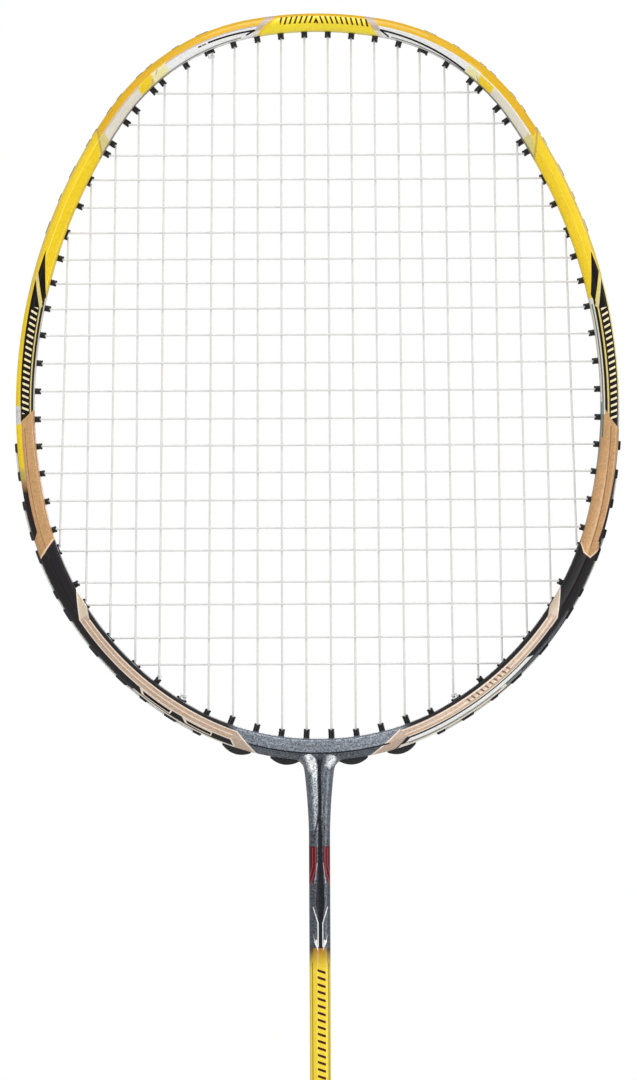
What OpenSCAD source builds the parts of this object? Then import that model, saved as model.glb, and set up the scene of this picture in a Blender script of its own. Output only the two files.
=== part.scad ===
// Badminton racket, 675 mm long, with a rounded-square ("squared oval") head of 76 string holes.
// The butt end's centre is the origin. Z runs along the shaft to the head, X across the head,
// and Y through its thickness: the string bed lies in the plane y = 0.

/* [Racket] */
// Length from the butt end to the top of the head
total_length = 675; // [660:1:680]

/* [Head outline] */
// Radius of the head's centre line at the top
top_r = 126.5; // [118:0.5:134]
// Half of the angle that the top arc turns through
top_turn = 10; // [8:0.5:12]
// Radius at the shoulder
shoulder_r = 70.5; // [68:0.5:73]
// Angle that the shoulder turns through
shoulder_turn = 44.5; // [43:0.5:46]
// Radius at the side
side_r = 173.5; // [165:0.5:182]
// Angle that the side turns through
side_turn = 45.5; // [44:0.5:47]
// Radius below the side
lower_r = 107; // [103:0.5:111]
// Angle that the lower arc turns through
lower_turn = 53; // [51:0.5:55]

/* [Head tube] */
// Width of the tube in the plane of the strings
tube_w = 6.6; // [6.2:0.1:7.2]
// Thickness of the tube through the racket
tube_d = 10.4; // [10:0.1:11]
// Wall of the carbon tube
tube_wall = 0.8; // [0.6:0.05:0.9]
// Depth of the string groove round the outside
groove_depth = 1.2; // [1.1:0.05:1.3]

/* [Strings] */
// Diameter of the string
string_d = 0.7; // [0.62:0.01:0.72]
// Spacing of the main strings at the top of the head
main_pitch_top = 7.9; // [7.8:0.01:8]
// Extra space between the seventh and eighth main strings at the top
shoulder_gap = 1.1; // [0.6:0.1:1.4]
// Spacing of the main strings at the bottom of the head
main_pitch_bottom = 8.35; // [8.25:0.01:8.45]
// Mean spacing of the cross strings
cross_pitch = 9.28; // [9.2:0.01:9.35]
// Distance from the top of the head down to the first cross string
cross_start = 27; // [26.5:0.1:27.5]

/* [Grommets] */
// Outer diameter of a grommet's barrel
barrel_d = 2.2; // [2.1:0.05:2.4]
// Diameter of the way through a grommet
bore_d = 1.44; // [1.42:0.01:1.5]
// How far a barrel stands out inside the head
barrel_out = 1.9; // [1.6:0.1:2.2]
// How far the barrels next to the throat stand out
long_barrel_out = 3.2; // [2.6:0.1:3.6]
// How far the flanges of the lower half stand out of the groove
flange_out = 0.9; // [0.6:0.1:1]

/* [Throat and shaft] */
// Diameter of the shaft
shaft_d = 7.2; // [7:0.1:7.4]
// Wall of the shaft's carbon tube
shaft_wall = 1.5; // [1.2:0.1:1.8]
// Length of the throat below the head, over which it narrows to the shaft
throat_len = 24; // [22:1:28]

/* [Handle] */
// Length of the handle, from the butt end to the top of the grip
handle_len = 183; // [176:1:190]
// Width of the grip, parallel to the strings
grip_w = 28; // [26:0.5:30]
// Thickness of the grip
grip_d = 25; // [23:0.5:27]
// Thickness of the wound grip band
grip_t = 1.8; // [1.4:0.1:2.2]
// How much wider the grip is at the butt end
butt_flare = 3; // [2:0.5:4]
// Length of the cone above the grip
cone_len = 25; // [22:1:28]

/* [Hidden] */
$fn = 64;
LEFT = -1;
RIGHT = 1;
SIDES = [LEFT, RIGHT];

// ---- Head outline: five arcs on each side, all tangent ----
// A place on the outline is its turn: the angle of the outward normal from +Z towards +X.
turn_1 = top_turn;
turn_2 = turn_1 + shoulder_turn;
turn_3 = turn_2 + side_turn;
turn_4 = turn_3 + lower_turn;

function dir(turn) = [sin(turn), cos(turn)];
function tangent(turn) = [cos(turn), -sin(turn)];
function mirrored(p) = [-p[0], p[1]];
function reversed(list) = [for (i = [len(list) - 1:-1:0]) list[i]];

centre_1 = [0, total_length - tube_w / 2 - top_r];
centre_2 = centre_1 + (top_r - shoulder_r) * dir(turn_1);
centre_3 = centre_2 + (shoulder_r - side_r) * dir(turn_2);
centre_4 = centre_3 + (side_r - lower_r) * dir(turn_3);
// The bottom arc's centre lies on the racket's axis, which sets its radius.
bottom_r = lower_r + centre_4[0] / sin(turn_4);
centre_5 = centre_4 + (lower_r - bottom_r) * dir(turn_4);
bottom_z = centre_5[1] - bottom_r;

// Each arc as [centre, radius, first turn, last turn]
ARCS = [
    [centre_1, top_r, 0, turn_1],
    [centre_2, shoulder_r, turn_1, turn_2],
    [centre_3, side_r, turn_2, turn_3],
    [centre_4, lower_r, turn_3, turn_4],
    [centre_5, bottom_r, turn_4, 180]
];

function arc_of(turn) = [for (a = ARCS) if (turn <= a[3]) a][0];
// Point of the head outline, `out` mm outside its centre line; a negative turn is on the left
function hoop_point(turn, out = 0) =
    let (a = arc_of(abs(turn)), p = a[0] + (a[1] + out) * dir(abs(turn)))
    turn < 0 ? mirrored(p) : p;

function on_arc(turn, a) = turn >= a[2] && turn <= a[3];
// Turn at which the outline, moved out by `out`, passes x on the right, in its upper or lower half
function turn_at_x(x, out, upper) = [
    for (a = ARCS)
        let (reach = (x - a[0][0]) / (a[1] + out), up = asin(reach), turn = upper ? up : 180 - up)
        if (abs(reach) <= 1 && on_arc(turn, a)) turn
][0];
// Turn at which the outline, moved out by `out`, passes the height z
function turn_at_z(z, out) = [
    for (a = ARCS)
        let (reach = (z - a[0][1]) / (a[1] + out), turn = acos(reach))
        if (abs(reach) <= 1 && on_arc(turn, a)) turn
][0];

// ---- String holes ----
MAINS = 11;  // on each side
CROSSES = 22;
short_mouth = tube_w / 2 + barrel_out;       // from the tube's centre line to a barrel's inner end
long_mouth = tube_w / 2 + long_barrel_out;
first_short = 4;                             // main strings below this one leave long barrels at the bottom
// How much each gap between cross strings differs from the mean
CROSS_GAPS = [
    1.3, 1.2, -1.1, 0.2, -1.1, 0.2, -1.1, -0.6, -0.3, 0.2, 0.2,
    0.2, -0.1, -0.1, 0.2, 0.2, -0.3, 0.1, -0.5, 1.2, -0.4
];
groove_floor = tube_w / 2 - groove_depth;
groove_half_w = 1.5;
wide_shift = 0.8;                      // half of the distance between two strings in a wide grommet
centre_lean = 25;                      // the two middle holes lean away from the throat
first_proud_cross = 13;                // from this cross string down, the flanges stand proud
SADDLED = 4;                           // main strings on each side that end in saddles at the bottom
TIE_OFF_TOP = 4;
TIE_OFF_BOTTOM = 5;
CROSS_TIE_OFF_BOTTOM = 6;
SHARED_UPPER = [[9, 3], [10, 5]];                     // [main, cross] that share a hole
SHARED_LOWER = [[10, 17], [9, 19], [8, 20], [7, 21]];

function sum_to(list, n) = n == 0 ? 0 : list[n - 1] + sum_to(list, n - 1);
function top_x(i) = (i + 0.5) * main_pitch_top + (i > 6 ? shoulder_gap : 0);
function bottom_x(i) = (i + 0.5) * main_pitch_bottom;
function cross_z(j) = total_length - cross_start - j * cross_pitch - sum_to(CROSS_GAPS, j);
long_barrel_turn = turn_at_x(first_short * main_pitch_bottom, -short_mouth, false);
function mouth(turn) = turn > long_barrel_turn ? long_mouth : short_mouth;
function top_turn_of(i) = turn_at_x(top_x(i), -short_mouth, true);
function bottom_turn_of(i) = turn_at_x(bottom_x(i), i < first_short ? -long_mouth : -short_mouth, false);
function cross_turn_of(j) = turn_at_z(cross_z(j), -short_mouth);

function partner(table, column, n) = [for (pair = table) if (pair[column] == n) pair[1 - column]];
function is_shared(table, column, n) = len(partner(table, column, n)) > 0;
// A hole is [turn, lean, shift]: shift moves the string along the tube in a wide grommet.
function shared_hole(own_turn, other_turn) =
    [(own_turn + other_turn) / 2, 0, own_turn > other_turn ? wide_shift : -wide_shift];

function top_hole(i) =
    is_shared(SHARED_UPPER, 0, i)
        ? shared_hole(top_turn_of(i), cross_turn_of(partner(SHARED_UPPER, 0, i)[0]))
        : [top_turn_of(i), 0, i == TIE_OFF_TOP ? -wide_shift : 0];
function bottom_hole(i) =
    is_shared(SHARED_LOWER, 0, i)
        ? shared_hole(bottom_turn_of(i), cross_turn_of(partner(SHARED_LOWER, 0, i)[0]))
        : [bottom_turn_of(i), i == 0 ? centre_lean : 0, i == TIE_OFF_BOTTOM ? wide_shift : 0];
function cross_hole(j) =
    is_shared(SHARED_UPPER, 1, j)
        ? shared_hole(cross_turn_of(j), top_turn_of(partner(SHARED_UPPER, 1, j)[0]))
    : is_shared(SHARED_LOWER, 1, j)
        ? shared_hole(cross_turn_of(j), bottom_turn_of(partner(SHARED_LOWER, 1, j)[0]))
        : [cross_turn_of(j), 0, 0];
function other_way(hole) = [hole[0], hole[1], -hole[2]];

// Point on a hole's string line, `out` mm outside the tube's centre line
function hole_point(hole, out) =
    let (m = mouth(hole[0]))
    hoop_point(hole[0], -m) + hole[2] * tangent(hole[0]) + (out + m) / cos(hole[1]) * dir(hole[0] - hole[1]);
function mouth_point(hole) = hole_point(hole, -mouth(hole[0]));

first_proud_turn = cross_turn_of(first_proud_cross) - 0.1;
function is_proud(turn) = turn >= first_proud_turn;
channel_depth = 0.8;
flange_top_flush = tube_w / 2;
flange_top_proud = tube_w / 2 + flange_out;
function flange_top(turn) = is_proud(turn) ? flange_top_proud : flange_top_flush;
// The string lies on the floor of the flange's channel
function string_out(turn) = flange_top(turn) - channel_depth + string_d / 2 + 0.02;

// ---- String routes: points in the plane of the strings ----
bend_cut = 0.45;         // a sharp bend is cut off this far from its corner
run_step = 5;            // degrees between the points of a long run in the groove
string_lift = 0.36;      // each string lies this far from y = 0, the mains behind and the crosses in front
STRING_SIDES = 8;

function unit(v) = v / norm(v);
function cut_corner(before, corner, after) =
    [corner + bend_cut * unit(before - corner), corner + bend_cut * unit(after - corner)];
function way_in(hole, from) =
    let (outer = hole_point(hole, string_out(hole[0])), inner = mouth_point(hole))
    concat(cut_corner(from, outer, inner), [inner]);
function way_out(hole, to) = reversed(way_in(hole, to));
function outer_end(hole) = hole_point(hole, string_out(hole[0]));

// Points of a run in the groove between two holes on one side
function groove_run(from, to) =
    let (steps = max(1, ceil(abs(to - from) / run_step)))
    [for (k = [1:1:steps - 1]) let (turn = from + (to - from) * k / steps) hoop_point(turn, string_out(turn))];
// One loop outside the tube: out of one hole, along the groove, and into the next
function loop_between(a, b) =
    let (run = groove_run(a[0], b[0]), first = len(run) > 0 ? run[0] : outer_end(b),
         last = len(run) > 0 ? run[len(run) - 1] : outer_end(a))
    concat(way_out(a, first), run, way_in(b, last));

function flat(lists) = [for (list = lists) for (p = list) p];
knot_reach = 1.2;       // the string's end runs this far past the mouth, to its knot
function tie_off(hole) = [hole_point(other_way(hole), -mouth(hole[0]) - knot_reach)];

// Right half of the main string, from the top hole beside the axis to its knot
last_main = MAINS - 1;
function main_half() = concat(
    way_in(top_hole(0), mirrored(outer_end(top_hole(0)))),
    flat([for (i = [0:last_main - 1])
        i % 2 == 0 ? loop_between(bottom_hole(i), bottom_hole(i + 1)) : loop_between(top_hole(i), top_hole(i + 1))]),
    loop_between(bottom_hole(last_main), other_way(bottom_hole(TIE_OFF_BOTTOM))),
    tie_off(bottom_hole(TIE_OFF_BOTTOM))
);
function main_route() = concat(reversed([for (p = main_half()) mirrored(p)]), main_half());

// The cross string starts and ends on the left
function cross_route() = concat(
    [for (p = reversed(tie_off(top_hole(TIE_OFF_TOP)))) mirrored(p)],
    [for (p = loop_between(other_way(top_hole(TIE_OFF_TOP)), cross_hole(0))) mirrored(p)],
    flat([for (j = [0:CROSSES - 2])
        let (turn_back = loop_between(cross_hole(j), cross_hole(j + 1)))
        j % 2 == 0 ? turn_back : [for (p = turn_back) mirrored(p)]]),
    [for (p = loop_between(cross_hole(CROSSES - 1), bottom_hole(CROSS_TIE_OFF_BOTTOM))) mirrored(p)],
    [mirrored(hole_point(bottom_hole(CROSS_TIE_OFF_BOTTOM), -short_mouth - knot_reach))]
);

// Round tube along a route that lies in one plane, at the depth y
module route_tube(route, y, r) {
    last = len(route) - 1;
    directions = [for (k = [0:last - 1]) unit(route[k + 1] - route[k])];
    rings = [
        for (k = [0:last])
            let (
                before = directions[max(k - 1, 0)],
                after = directions[min(k, last - 1)],
                along = unit(before + after),
                across = [along[1], -along[0]] / (along * after)
            )
            for (s = [0:STRING_SIDES - 1])
                let (a = 360 * s / STRING_SIDES, p = route[k] + r * cos(a) * across)
                [p[0], y + r * sin(a), p[1]]
    ];
    n = STRING_SIDES;
    walls = [
        for (k = [0:last - 1], s = [0:n - 1])
            let (a = k * n + s, b = k * n + (s + 1) % n)
            each [[a, b, b + n], [a, b + n, a + n]]
    ];
    caps = [[for (s = [n - 1:-1:0]) s], [for (s = [0:n - 1]) last * n + s]];
    polyhedron(points = rings, faces = concat(walls, caps));
}

// ---- Head tube ----
// The section: u is measured outwards and v through the racket. The ridge on each face is the
// widest place. `grow` makes the whole section larger.
function both_halves(half) = concat(half, [for (p = reversed(half)) [p[0], -p[1]]]);
ridge_u = 0.3;
groove_slope = 0.4;
function tube_section(grow = 0) = both_halves([
    [-tube_w / 2 - grow, -tube_d * 0.26],
    [-tube_w / 2 + 0.5 - grow, -tube_d * 0.37 - grow],
    [ridge_u, -tube_d / 2 - grow],
    [tube_w / 2 - 0.7 + grow, -tube_d * 0.4 - grow],
    [tube_w / 2 + grow, -tube_d * 0.3],
    [tube_w / 2 + grow, grow - groove_half_w - groove_slope],
    [groove_floor + grow, grow - groove_half_w]
]);
cavity_outer_u = groove_floor - tube_wall;
function cavity_section(grow = 0) = both_halves([
    [-tube_w / 2 + tube_wall - grow, -tube_d * 0.23],
    [-tube_w / 2 + tube_wall + 0.3 - grow, -tube_d * 0.3 - grow],
    [ridge_u, -tube_d / 2 + tube_wall * 1.15 - grow],
    [cavity_outer_u + grow, -tube_d * 0.35]
]);
function filled_section() = both_halves([
    [-tube_w / 2, -tube_d * 0.26],
    [-tube_w / 2 + 0.5, -tube_d * 0.37],
    [ridge_u, -tube_d / 2],
    [tube_w / 2 - 0.7, -tube_d * 0.4],
    [tube_w / 2, -tube_d * 0.3]
]);

// A section swept along one arc of the outline, from one turn to another
module swept_arc(a, from, to, section) {
    translate([a[0][0], 0, a[0][1]])
        rotate([90, 0, 0])
            rotate([0, 0, 90 - to])
                rotate_extrude(angle = to - from)
                    translate([a[1], 0])
                        polygon(section);
}

// A thin straight slice of a section, which bridges the junction of two arcs
seam_len = 0.6;
seam_grow = 0.02;
module seam(turn, section) {
    p = hoop_point(turn);
    translate([p[0], 0, p[1]])
        rotate([0, turn, 0])
            rotate([180, -90, 0])
                linear_extrude(seam_len, center = true)
                    polygon(section);
}

module hoop(section, seam_section) {
    swept_arc(ARCS[0], -turn_1, turn_1, section);
    swept_arc(ARCS[4], turn_4, 360 - turn_4, section);
    for (side = [0, 1])
        mirror([side, 0, 0]) {
            for (a = [ARCS[1], ARCS[2], ARCS[3]])
                swept_arc(a, a[2], a[3], section);
            for (turn = [turn_1, turn_2, turn_3, turn_4])
                seam(turn, seam_section);
        }
}

// Puts its children at a hole: Z outwards along the hole, from the tube's centre line
module at_hole(hole, side = RIGHT) {
    p = hole_point([hole[0], hole[1], 0], 0);
    mirror([side == LEFT ? 1 : 0, 0, 0])
        translate([p[0], 0, p[1]])
            rotate([0, hole[0] - hole[1], 0])
                children();
}

// Stadium-shaped rod: two cylinders and the block between them, or one cylinder where shift is 0
module rod(r, shift, low, high) {
    for (s = shift == 0 ? [0] : [-shift, shift])
        translate([s, 0, low])
            cylinder(r = r, h = high - low);
    if (shift != 0)
        translate([-shift, -r, low])
            cube([2 * shift, 2 * r, high - low]);
}

ALL_HOLES = concat(
    [for (i = [0:last_main]) top_hole(i)],
    [for (i = [0:last_main]) bottom_hole(i)],
    [for (j = [0:CROSSES - 1]) if (!is_shared(SHARED_UPPER, 1, j) && !is_shared(SHARED_LOWER, 1, j)) cross_hole(j)]
);

hole_gap = 0.03;        // between a barrel and its hole
module drills(holes = ALL_HOLES, sides = SIDES) {
    for (side = sides, hole = holes)
        at_hole(hole, side)
            rod(barrel_d / 2 + hole_gap, abs(hole[2]), -tube_w, tube_w);
}

core_r = shaft_d / 2 - shaft_wall;

module head_frame() {
    color("gold")
        difference() {
            hoop(tube_section(), tube_section(seam_grow));
            hoop(cavity_section(), cavity_section(seam_grow));
            drills();
            translate([0, 0, bottom_z - tube_w])
                cylinder(r = core_r, h = tube_w);
        }
}

// ---- Throat and shaft ----
throat_z = bottom_z - tube_w / 2 - throat_len;
throat_r = 5.1;
flare_r = 6.6;
flare_h = 2.6;
shaft_end_z = handle_len - 58;

// Flared stem of the throat, from the shaft up to the head
module throat_stem() {
    flare_z = bottom_z - tube_w / 2 - flare_h;
    stem_top = bottom_z - ridge_u - 0.3;
    translate([0, 0, throat_z])
        cylinder(r1 = shaft_d / 2 + 0.05, r2 = throat_r, h = throat_len - flare_h + 0.01);
    intersection() {
        union() {
            translate([0, 0, flare_z])
                cylinder(r1 = throat_r, r2 = flare_r, h = flare_h);
            translate([0, 0, flare_z + flare_h])
                cylinder(r = flare_r, h = stem_top - flare_z - flare_h);
        }
        translate([-2 * flare_r, -tube_d / 2 + 0.05, throat_z])
            cube([4 * flare_r, tube_d - 0.1, 2 * throat_len]);
    }
}

module throat_joint() {
    color("slategray")
        difference() {
            throat_stem();
            swept_arc(ARCS[4], 170, 190, filled_section());
            translate([0, 0, throat_z - 1])
                cylinder(r = core_r, h = 2 * throat_len);
        }
}

core_len = 22;          // how far the core reaches down into the shaft
core_arm_turn = 9;      // half of the angle that its arms fill inside the head tube
module t_joint_core() {
    color("dimgray")
        difference() {
            union() {
                translate([0, 0, throat_z - core_len])
                    cylinder(r = core_r, h = bottom_z - throat_z + core_len);
                swept_arc(ARCS[4], 180 - core_arm_turn, 180 + core_arm_turn, cavity_section());
            }
            drills([bottom_hole(0), bottom_hole(1)]);
        }
}

module shaft() {
    color("gold")
        translate([0, 0, shaft_end_z])
            difference() {
                cylinder(d = shaft_d, h = throat_z - shaft_end_z);
                translate([0, 0, -1])
                    cylinder(r = core_r, h = throat_z - shaft_end_z + 2);
            }
}

// ---- Strings ----
module main_string() {
    color("white")
        route_tube(main_route(), string_lift, string_d / 2);
}

module cross_string() {
    color("white")
        route_tube(cross_route(), -string_lift, string_d / 2);
}

knot_r = 0.95;
knot_h = 1.5;
// Collar of a knot on the string that leaves a hole, just past the mouth
module knot(hole, y, side, along) {
    p = mouth_point(hole);
    mirror([side == LEFT ? 1 : 0, 0, 0])
        translate([p[0], y, p[1]])
            rotate([0, along, 0])
                translate([0, 0, knot_reach - knot_h / 2])
                    difference() {
                        cylinder(r = knot_r, h = knot_h);
                        translate([0, 0, -1])
                            cylinder(d = string_d + 0.1, h = knot_h + 2);
                    }
}

// Angle at which a main string leaves its top or bottom hole
function main_lean(i) =
    let (run = mouth_point(top_hole(i)) - mouth_point(bottom_hole(i))) atan2(run[0], run[1]);

module string_knots() {
    color("white") {
        for (side = SIDES)
            knot(bottom_hole(TIE_OFF_BOTTOM), string_lift, side, main_lean(TIE_OFF_BOTTOM));
        knot(bottom_hole(CROSS_TIE_OFF_BOTTOM), string_lift, LEFT, main_lean(CROSS_TIE_OFF_BOTTOM));
        knot(top_hole(TIE_OFF_TOP), string_lift, LEFT, 180 + main_lean(TIE_OFF_TOP));
    }
}

// ---- Grommets ----
flange_len = 3.2;
channel_w = 1.6;

// Barrel and flange of one grommet; a wide one takes two strings
module grommet_body(turn, wide) {
    shift = wide ? wide_shift : 0;
    top = flange_top(turn);
    length = flange_len + 2 * shift;
    difference() {
        union() {
            rod(barrel_d / 2, shift, -mouth(turn), groove_floor);
            translate([-length / 2, -groove_half_w, groove_floor])
                cube([length, 2 * groove_half_w, top - groove_floor]);
        }
        rod(bore_d / 2, shift, -mouth(turn) - 1, top + 1);
        translate([-length, -channel_w / 2, top - channel_depth])
            cube([2 * length, channel_w, channel_depth + 1]);
    }
}

module grommet(hole, side) {
    at_hole([hole[0], hole[1], 0], side)
        grommet_body(hole[0], hole[2] != 0);
}

module grommet_group(holes, side) {
    color("black")
        for (hole = holes)
            grommet(hole, side);
}

SHOULDER_HOLES = concat([for (i = [5:8]) top_hole(i)], [for (j = [0:2]) cross_hole(j)]);
SIDE_HOLES = concat([cross_hole(4)], [for (j = [6:16]) cross_hole(j)]);
LOWER_HOLES = [cross_hole(18), bottom_hole(4), bottom_hole(CROSS_TIE_OFF_BOTTOM)];

module on_both_sides(holes) {
    for (side = SIDES)
        grommet_group(holes, side);
}

// Two barrels under one rounded pad, over which the string turns back
saddle_len = 10;
saddle_out = 2.2;
saddle_rim = 0.6;       // how far the pad stands out at its ends
module saddle_pad(turn) {
    low = groove_floor + 0.02;
    top = tube_w / 2 + saddle_out;
    rise = saddle_out - saddle_rim;
    pad_r = (saddle_len * saddle_len / 4 + rise * rise) / (2 * rise);
    p = hoop_point(turn, 0);
    translate([p[0], 0, p[1]])
        rotate([0, turn, 0])
            difference() {
                intersection() {
                    translate([0, groove_half_w, top - pad_r])
                        rotate([90, 0, 0])
                            cylinder(r = pad_r, h = 2 * groove_half_w);
                    translate([-saddle_len / 2, -groove_half_w, low])
                        cube([saddle_len, 2 * groove_half_w, top]);
                }
                translate([-saddle_len, -channel_w / 2, flange_top_proud - channel_depth])
                    cube([2 * saddle_len, channel_w, top]);
            }
}

saddle_root = groove_floor + 0.5;
module saddle(i, side) {
    // The pad sits midway between the outer ends of its two holes.
    exits = [for (k = [i, i + 1]) hole_point(bottom_hole(k), tube_w / 2)];
    middle = (exits[0] + exits[1]) / 2;
    turn = turn_at_x(middle[0], tube_w / 2, false);
    difference() {
        union() {
            mirror([side == LEFT ? 1 : 0, 0, 0])
                saddle_pad(turn);
            for (k = [i, i + 1])
                at_hole(bottom_hole(k), side)
                    rod(barrel_d / 2, 0, -long_mouth / cos(bottom_hole(k)[1]), saddle_root / cos(bottom_hole(k)[1]));
        }
        for (k = [i, i + 1])
            at_hole(bottom_hole(k), side)
                rod(bore_d / 2, 0, -2 * tube_w, 2 * tube_w);
    }
}

module saddle_grommets() {
    color("black")
        for (side = SIDES, i = [0:2:SADDLED - 1])
            saddle(i, side);
}

// ---- Handle ----
core_w = grip_w - 2 * grip_t;
core_d = grip_d - 2 * grip_t;
corner_cut = 0.29;      // share of the width that each bevel of the octagon takes
flare_len = 16;
butt_z = 9;             // the wood and the grip start here, above the cap
cap_skirt = 6;

module octagon(w, d) {
    cut = corner_cut * d;
    polygon([
        [w / 2, d / 2 - cut], [w / 2 - cut, d / 2], [cut - w / 2, d / 2], [-w / 2, d / 2 - cut],
        [-w / 2, cut - d / 2], [cut - w / 2, -d / 2], [w / 2 - cut, -d / 2], [w / 2, cut - d / 2]
    ]);
}

// Eight-sided handle shape, `extra` mm larger all round than the wood, wider at the butt
module handle_solid(extra, low, high) {
    translate([0, 0, flare_len])
        linear_extrude(high - flare_len)
            octagon(core_w + 2 * extra, core_d + 2 * extra);
    hull() {
        translate([0, 0, flare_len])
            linear_extrude(0.01)
                octagon(core_w + 2 * extra, core_d + 2 * extra);
        translate([0, 0, low])
            linear_extrude(0.01)
                octagon(core_w + 2 * extra + butt_flare, core_d + 2 * extra + butt_flare);
    }
}

staple_w = 9;
staple_wire = 0.8;
staple_leg = 6;
staple_z = 24;
module staple(face) {
    y = core_d / 2;
    rotate([0, 0, face])
        translate([0, 0, staple_z]) {
            translate([-staple_w / 2, y - staple_wire, 0])
                cube([staple_w, staple_wire, staple_wire]);
            for (x = [-staple_w / 2, staple_w / 2 - staple_wire])
                translate([x, y - staple_leg, 0])
                    cube([staple_wire, staple_leg, staple_wire]);
        }
}

module grip_staples() {
    color("silver")
        for (face = [0, 180])
            staple(face);
}

relief_r = 6;
relief_len = 70;
module handle_core() {
    color("burlywood")
        difference() {
            handle_solid(0, butt_z, handle_len - 2);
            translate([0, 0, shaft_end_z])
                cylinder(d = shaft_d, h = handle_len);
            cylinder(r = relief_r, h = relief_len);
            grip_staples();
        }
}

module grip_wrap() {
    color("black")
        difference() {
            handle_solid(grip_t, butt_z, handle_len);
            handle_solid(0, butt_z - 1, handle_len + 1);
        }
}

collar_h = 11;
collar_t = 0.4;
module grip_collar() {
    color("black")
        translate([0, 0, handle_len - collar_h + 1.5])
            difference() {
                linear_extrude(collar_h)
                    octagon(grip_w + 2 * collar_t, grip_d + 2 * collar_t);
                translate([0, 0, -1])
                    linear_extrude(collar_h + 2)
                        octagon(grip_w, grip_d);
            }
}

cone_base_r = core_d / 2;
cone_tip_r = shaft_d / 2 + 1.1;
cone_shoulder = 4;
module cone_cap() {
    color("black")
        translate([0, 0, handle_len - 2])
            difference() {
                union() {
                    cylinder(r = cone_base_r - 0.4, h = cone_shoulder);
                    translate([0, 0, cone_shoulder])
                        cylinder(r1 = cone_base_r, r2 = cone_tip_r, h = cone_len + 2 - cone_shoulder);
                }
                translate([0, 0, -1])
                    cylinder(d = shaft_d, h = cone_len + 4);
            }
}

cap_w = grip_w + butt_flare + 1;
cap_d = grip_d + butt_flare + 1;
badge_r = 9;
badge_t = 0.8;
plug_len = 12;
module butt_cap() {
    color("black")
        difference() {
            union() {
                hull() {
                    linear_extrude(0.01)
                        octagon(cap_w - 3, cap_d - 3);
                    translate([0, 0, 1.5])
                        linear_extrude(cap_skirt - 1.5)
                            octagon(cap_w, cap_d);
                    translate([0, 0, butt_z - 0.01])
                        linear_extrude(0.01)
                            octagon(cap_w - 1, cap_d - 1);
                }
                translate([0, 0, butt_z - 1])
                    cylinder(r = relief_r, h = plug_len);
            }
            translate([0, 0, -1])
                cylinder(r = badge_r, h = badge_t + 1);
            translate([0, 0, 3])
                cylinder(r = relief_r - 1.2, h = plug_len + butt_z);
        }
}

module butt_badge() {
    color("gold")
        cylinder(r = badge_r, h = badge_t);
}

head_frame();
throat_joint();
t_joint_core();
shaft();
main_string();
cross_string();
string_knots();
on_both_sides([for (i = [0:TIE_OFF_TOP - 1]) top_hole(i)]);  // grommets_top
grommet_group(SHOULDER_HOLES, LEFT);  // grommets_shoulder_left
grommet_group(SHOULDER_HOLES, RIGHT);  // grommets_shoulder_right
grommet_group(SIDE_HOLES, LEFT);  // grommets_side_left
grommet_group(SIDE_HOLES, RIGHT);  // grommets_side_right
grommet_group(LOWER_HOLES, LEFT);  // grommets_lower_left
grommet_group(LOWER_HOLES, RIGHT);  // grommets_lower_right
on_both_sides([for (p = SHARED_UPPER) top_hole(p[0])]);  // shared_grommets_upper
on_both_sides([for (p = SHARED_LOWER) bottom_hole(p[0])]);  // shared_grommets_lower
on_both_sides([top_hole(TIE_OFF_TOP), bottom_hole(TIE_OFF_BOTTOM)]);  // tie_off_grommets
saddle_grommets();
cone_cap();
handle_core();
grip_wrap();
grip_collar();
grip_staples();
butt_cap();
butt_badge();
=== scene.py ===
"""Badminton racket: the visual pieces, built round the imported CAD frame.

Lengths are millimetres until a mesh is made, which is in metres. A place on the head is its
turn, the angle in degrees of the outward normal from +Z towards +X; the left side mirrors it.
Paint on the head is laid out in (s, u): s runs along the outer edge from the top centre, and
u is measured inwards from the outer edge, so it is negative.
"""
import math

import bmesh
import bpy
import numpy as np
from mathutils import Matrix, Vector

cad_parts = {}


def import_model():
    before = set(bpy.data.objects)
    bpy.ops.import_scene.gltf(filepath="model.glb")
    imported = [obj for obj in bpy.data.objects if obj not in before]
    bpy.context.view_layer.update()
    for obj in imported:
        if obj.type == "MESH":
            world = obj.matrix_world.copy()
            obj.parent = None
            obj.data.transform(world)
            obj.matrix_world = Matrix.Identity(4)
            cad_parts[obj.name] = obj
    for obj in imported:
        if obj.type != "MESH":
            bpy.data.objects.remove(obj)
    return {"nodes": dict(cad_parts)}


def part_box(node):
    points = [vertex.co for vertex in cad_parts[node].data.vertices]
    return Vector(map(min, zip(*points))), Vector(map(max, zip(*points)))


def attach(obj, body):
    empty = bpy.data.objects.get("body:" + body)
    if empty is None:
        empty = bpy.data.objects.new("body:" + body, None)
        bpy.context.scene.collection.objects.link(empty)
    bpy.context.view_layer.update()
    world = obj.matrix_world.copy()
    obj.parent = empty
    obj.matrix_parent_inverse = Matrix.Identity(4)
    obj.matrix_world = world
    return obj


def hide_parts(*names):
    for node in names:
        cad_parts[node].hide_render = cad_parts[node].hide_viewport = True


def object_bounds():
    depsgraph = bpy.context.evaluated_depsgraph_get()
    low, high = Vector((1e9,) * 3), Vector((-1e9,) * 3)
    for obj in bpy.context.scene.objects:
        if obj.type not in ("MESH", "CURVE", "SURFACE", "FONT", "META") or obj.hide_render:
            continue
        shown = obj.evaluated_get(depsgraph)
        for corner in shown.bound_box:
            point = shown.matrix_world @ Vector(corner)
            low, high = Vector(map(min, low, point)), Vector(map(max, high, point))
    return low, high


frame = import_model()
CAD_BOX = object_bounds()
MM = 0.001
LEFT, RIGHT = -1, 1
SIDES = (LEFT, RIGHT)

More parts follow.
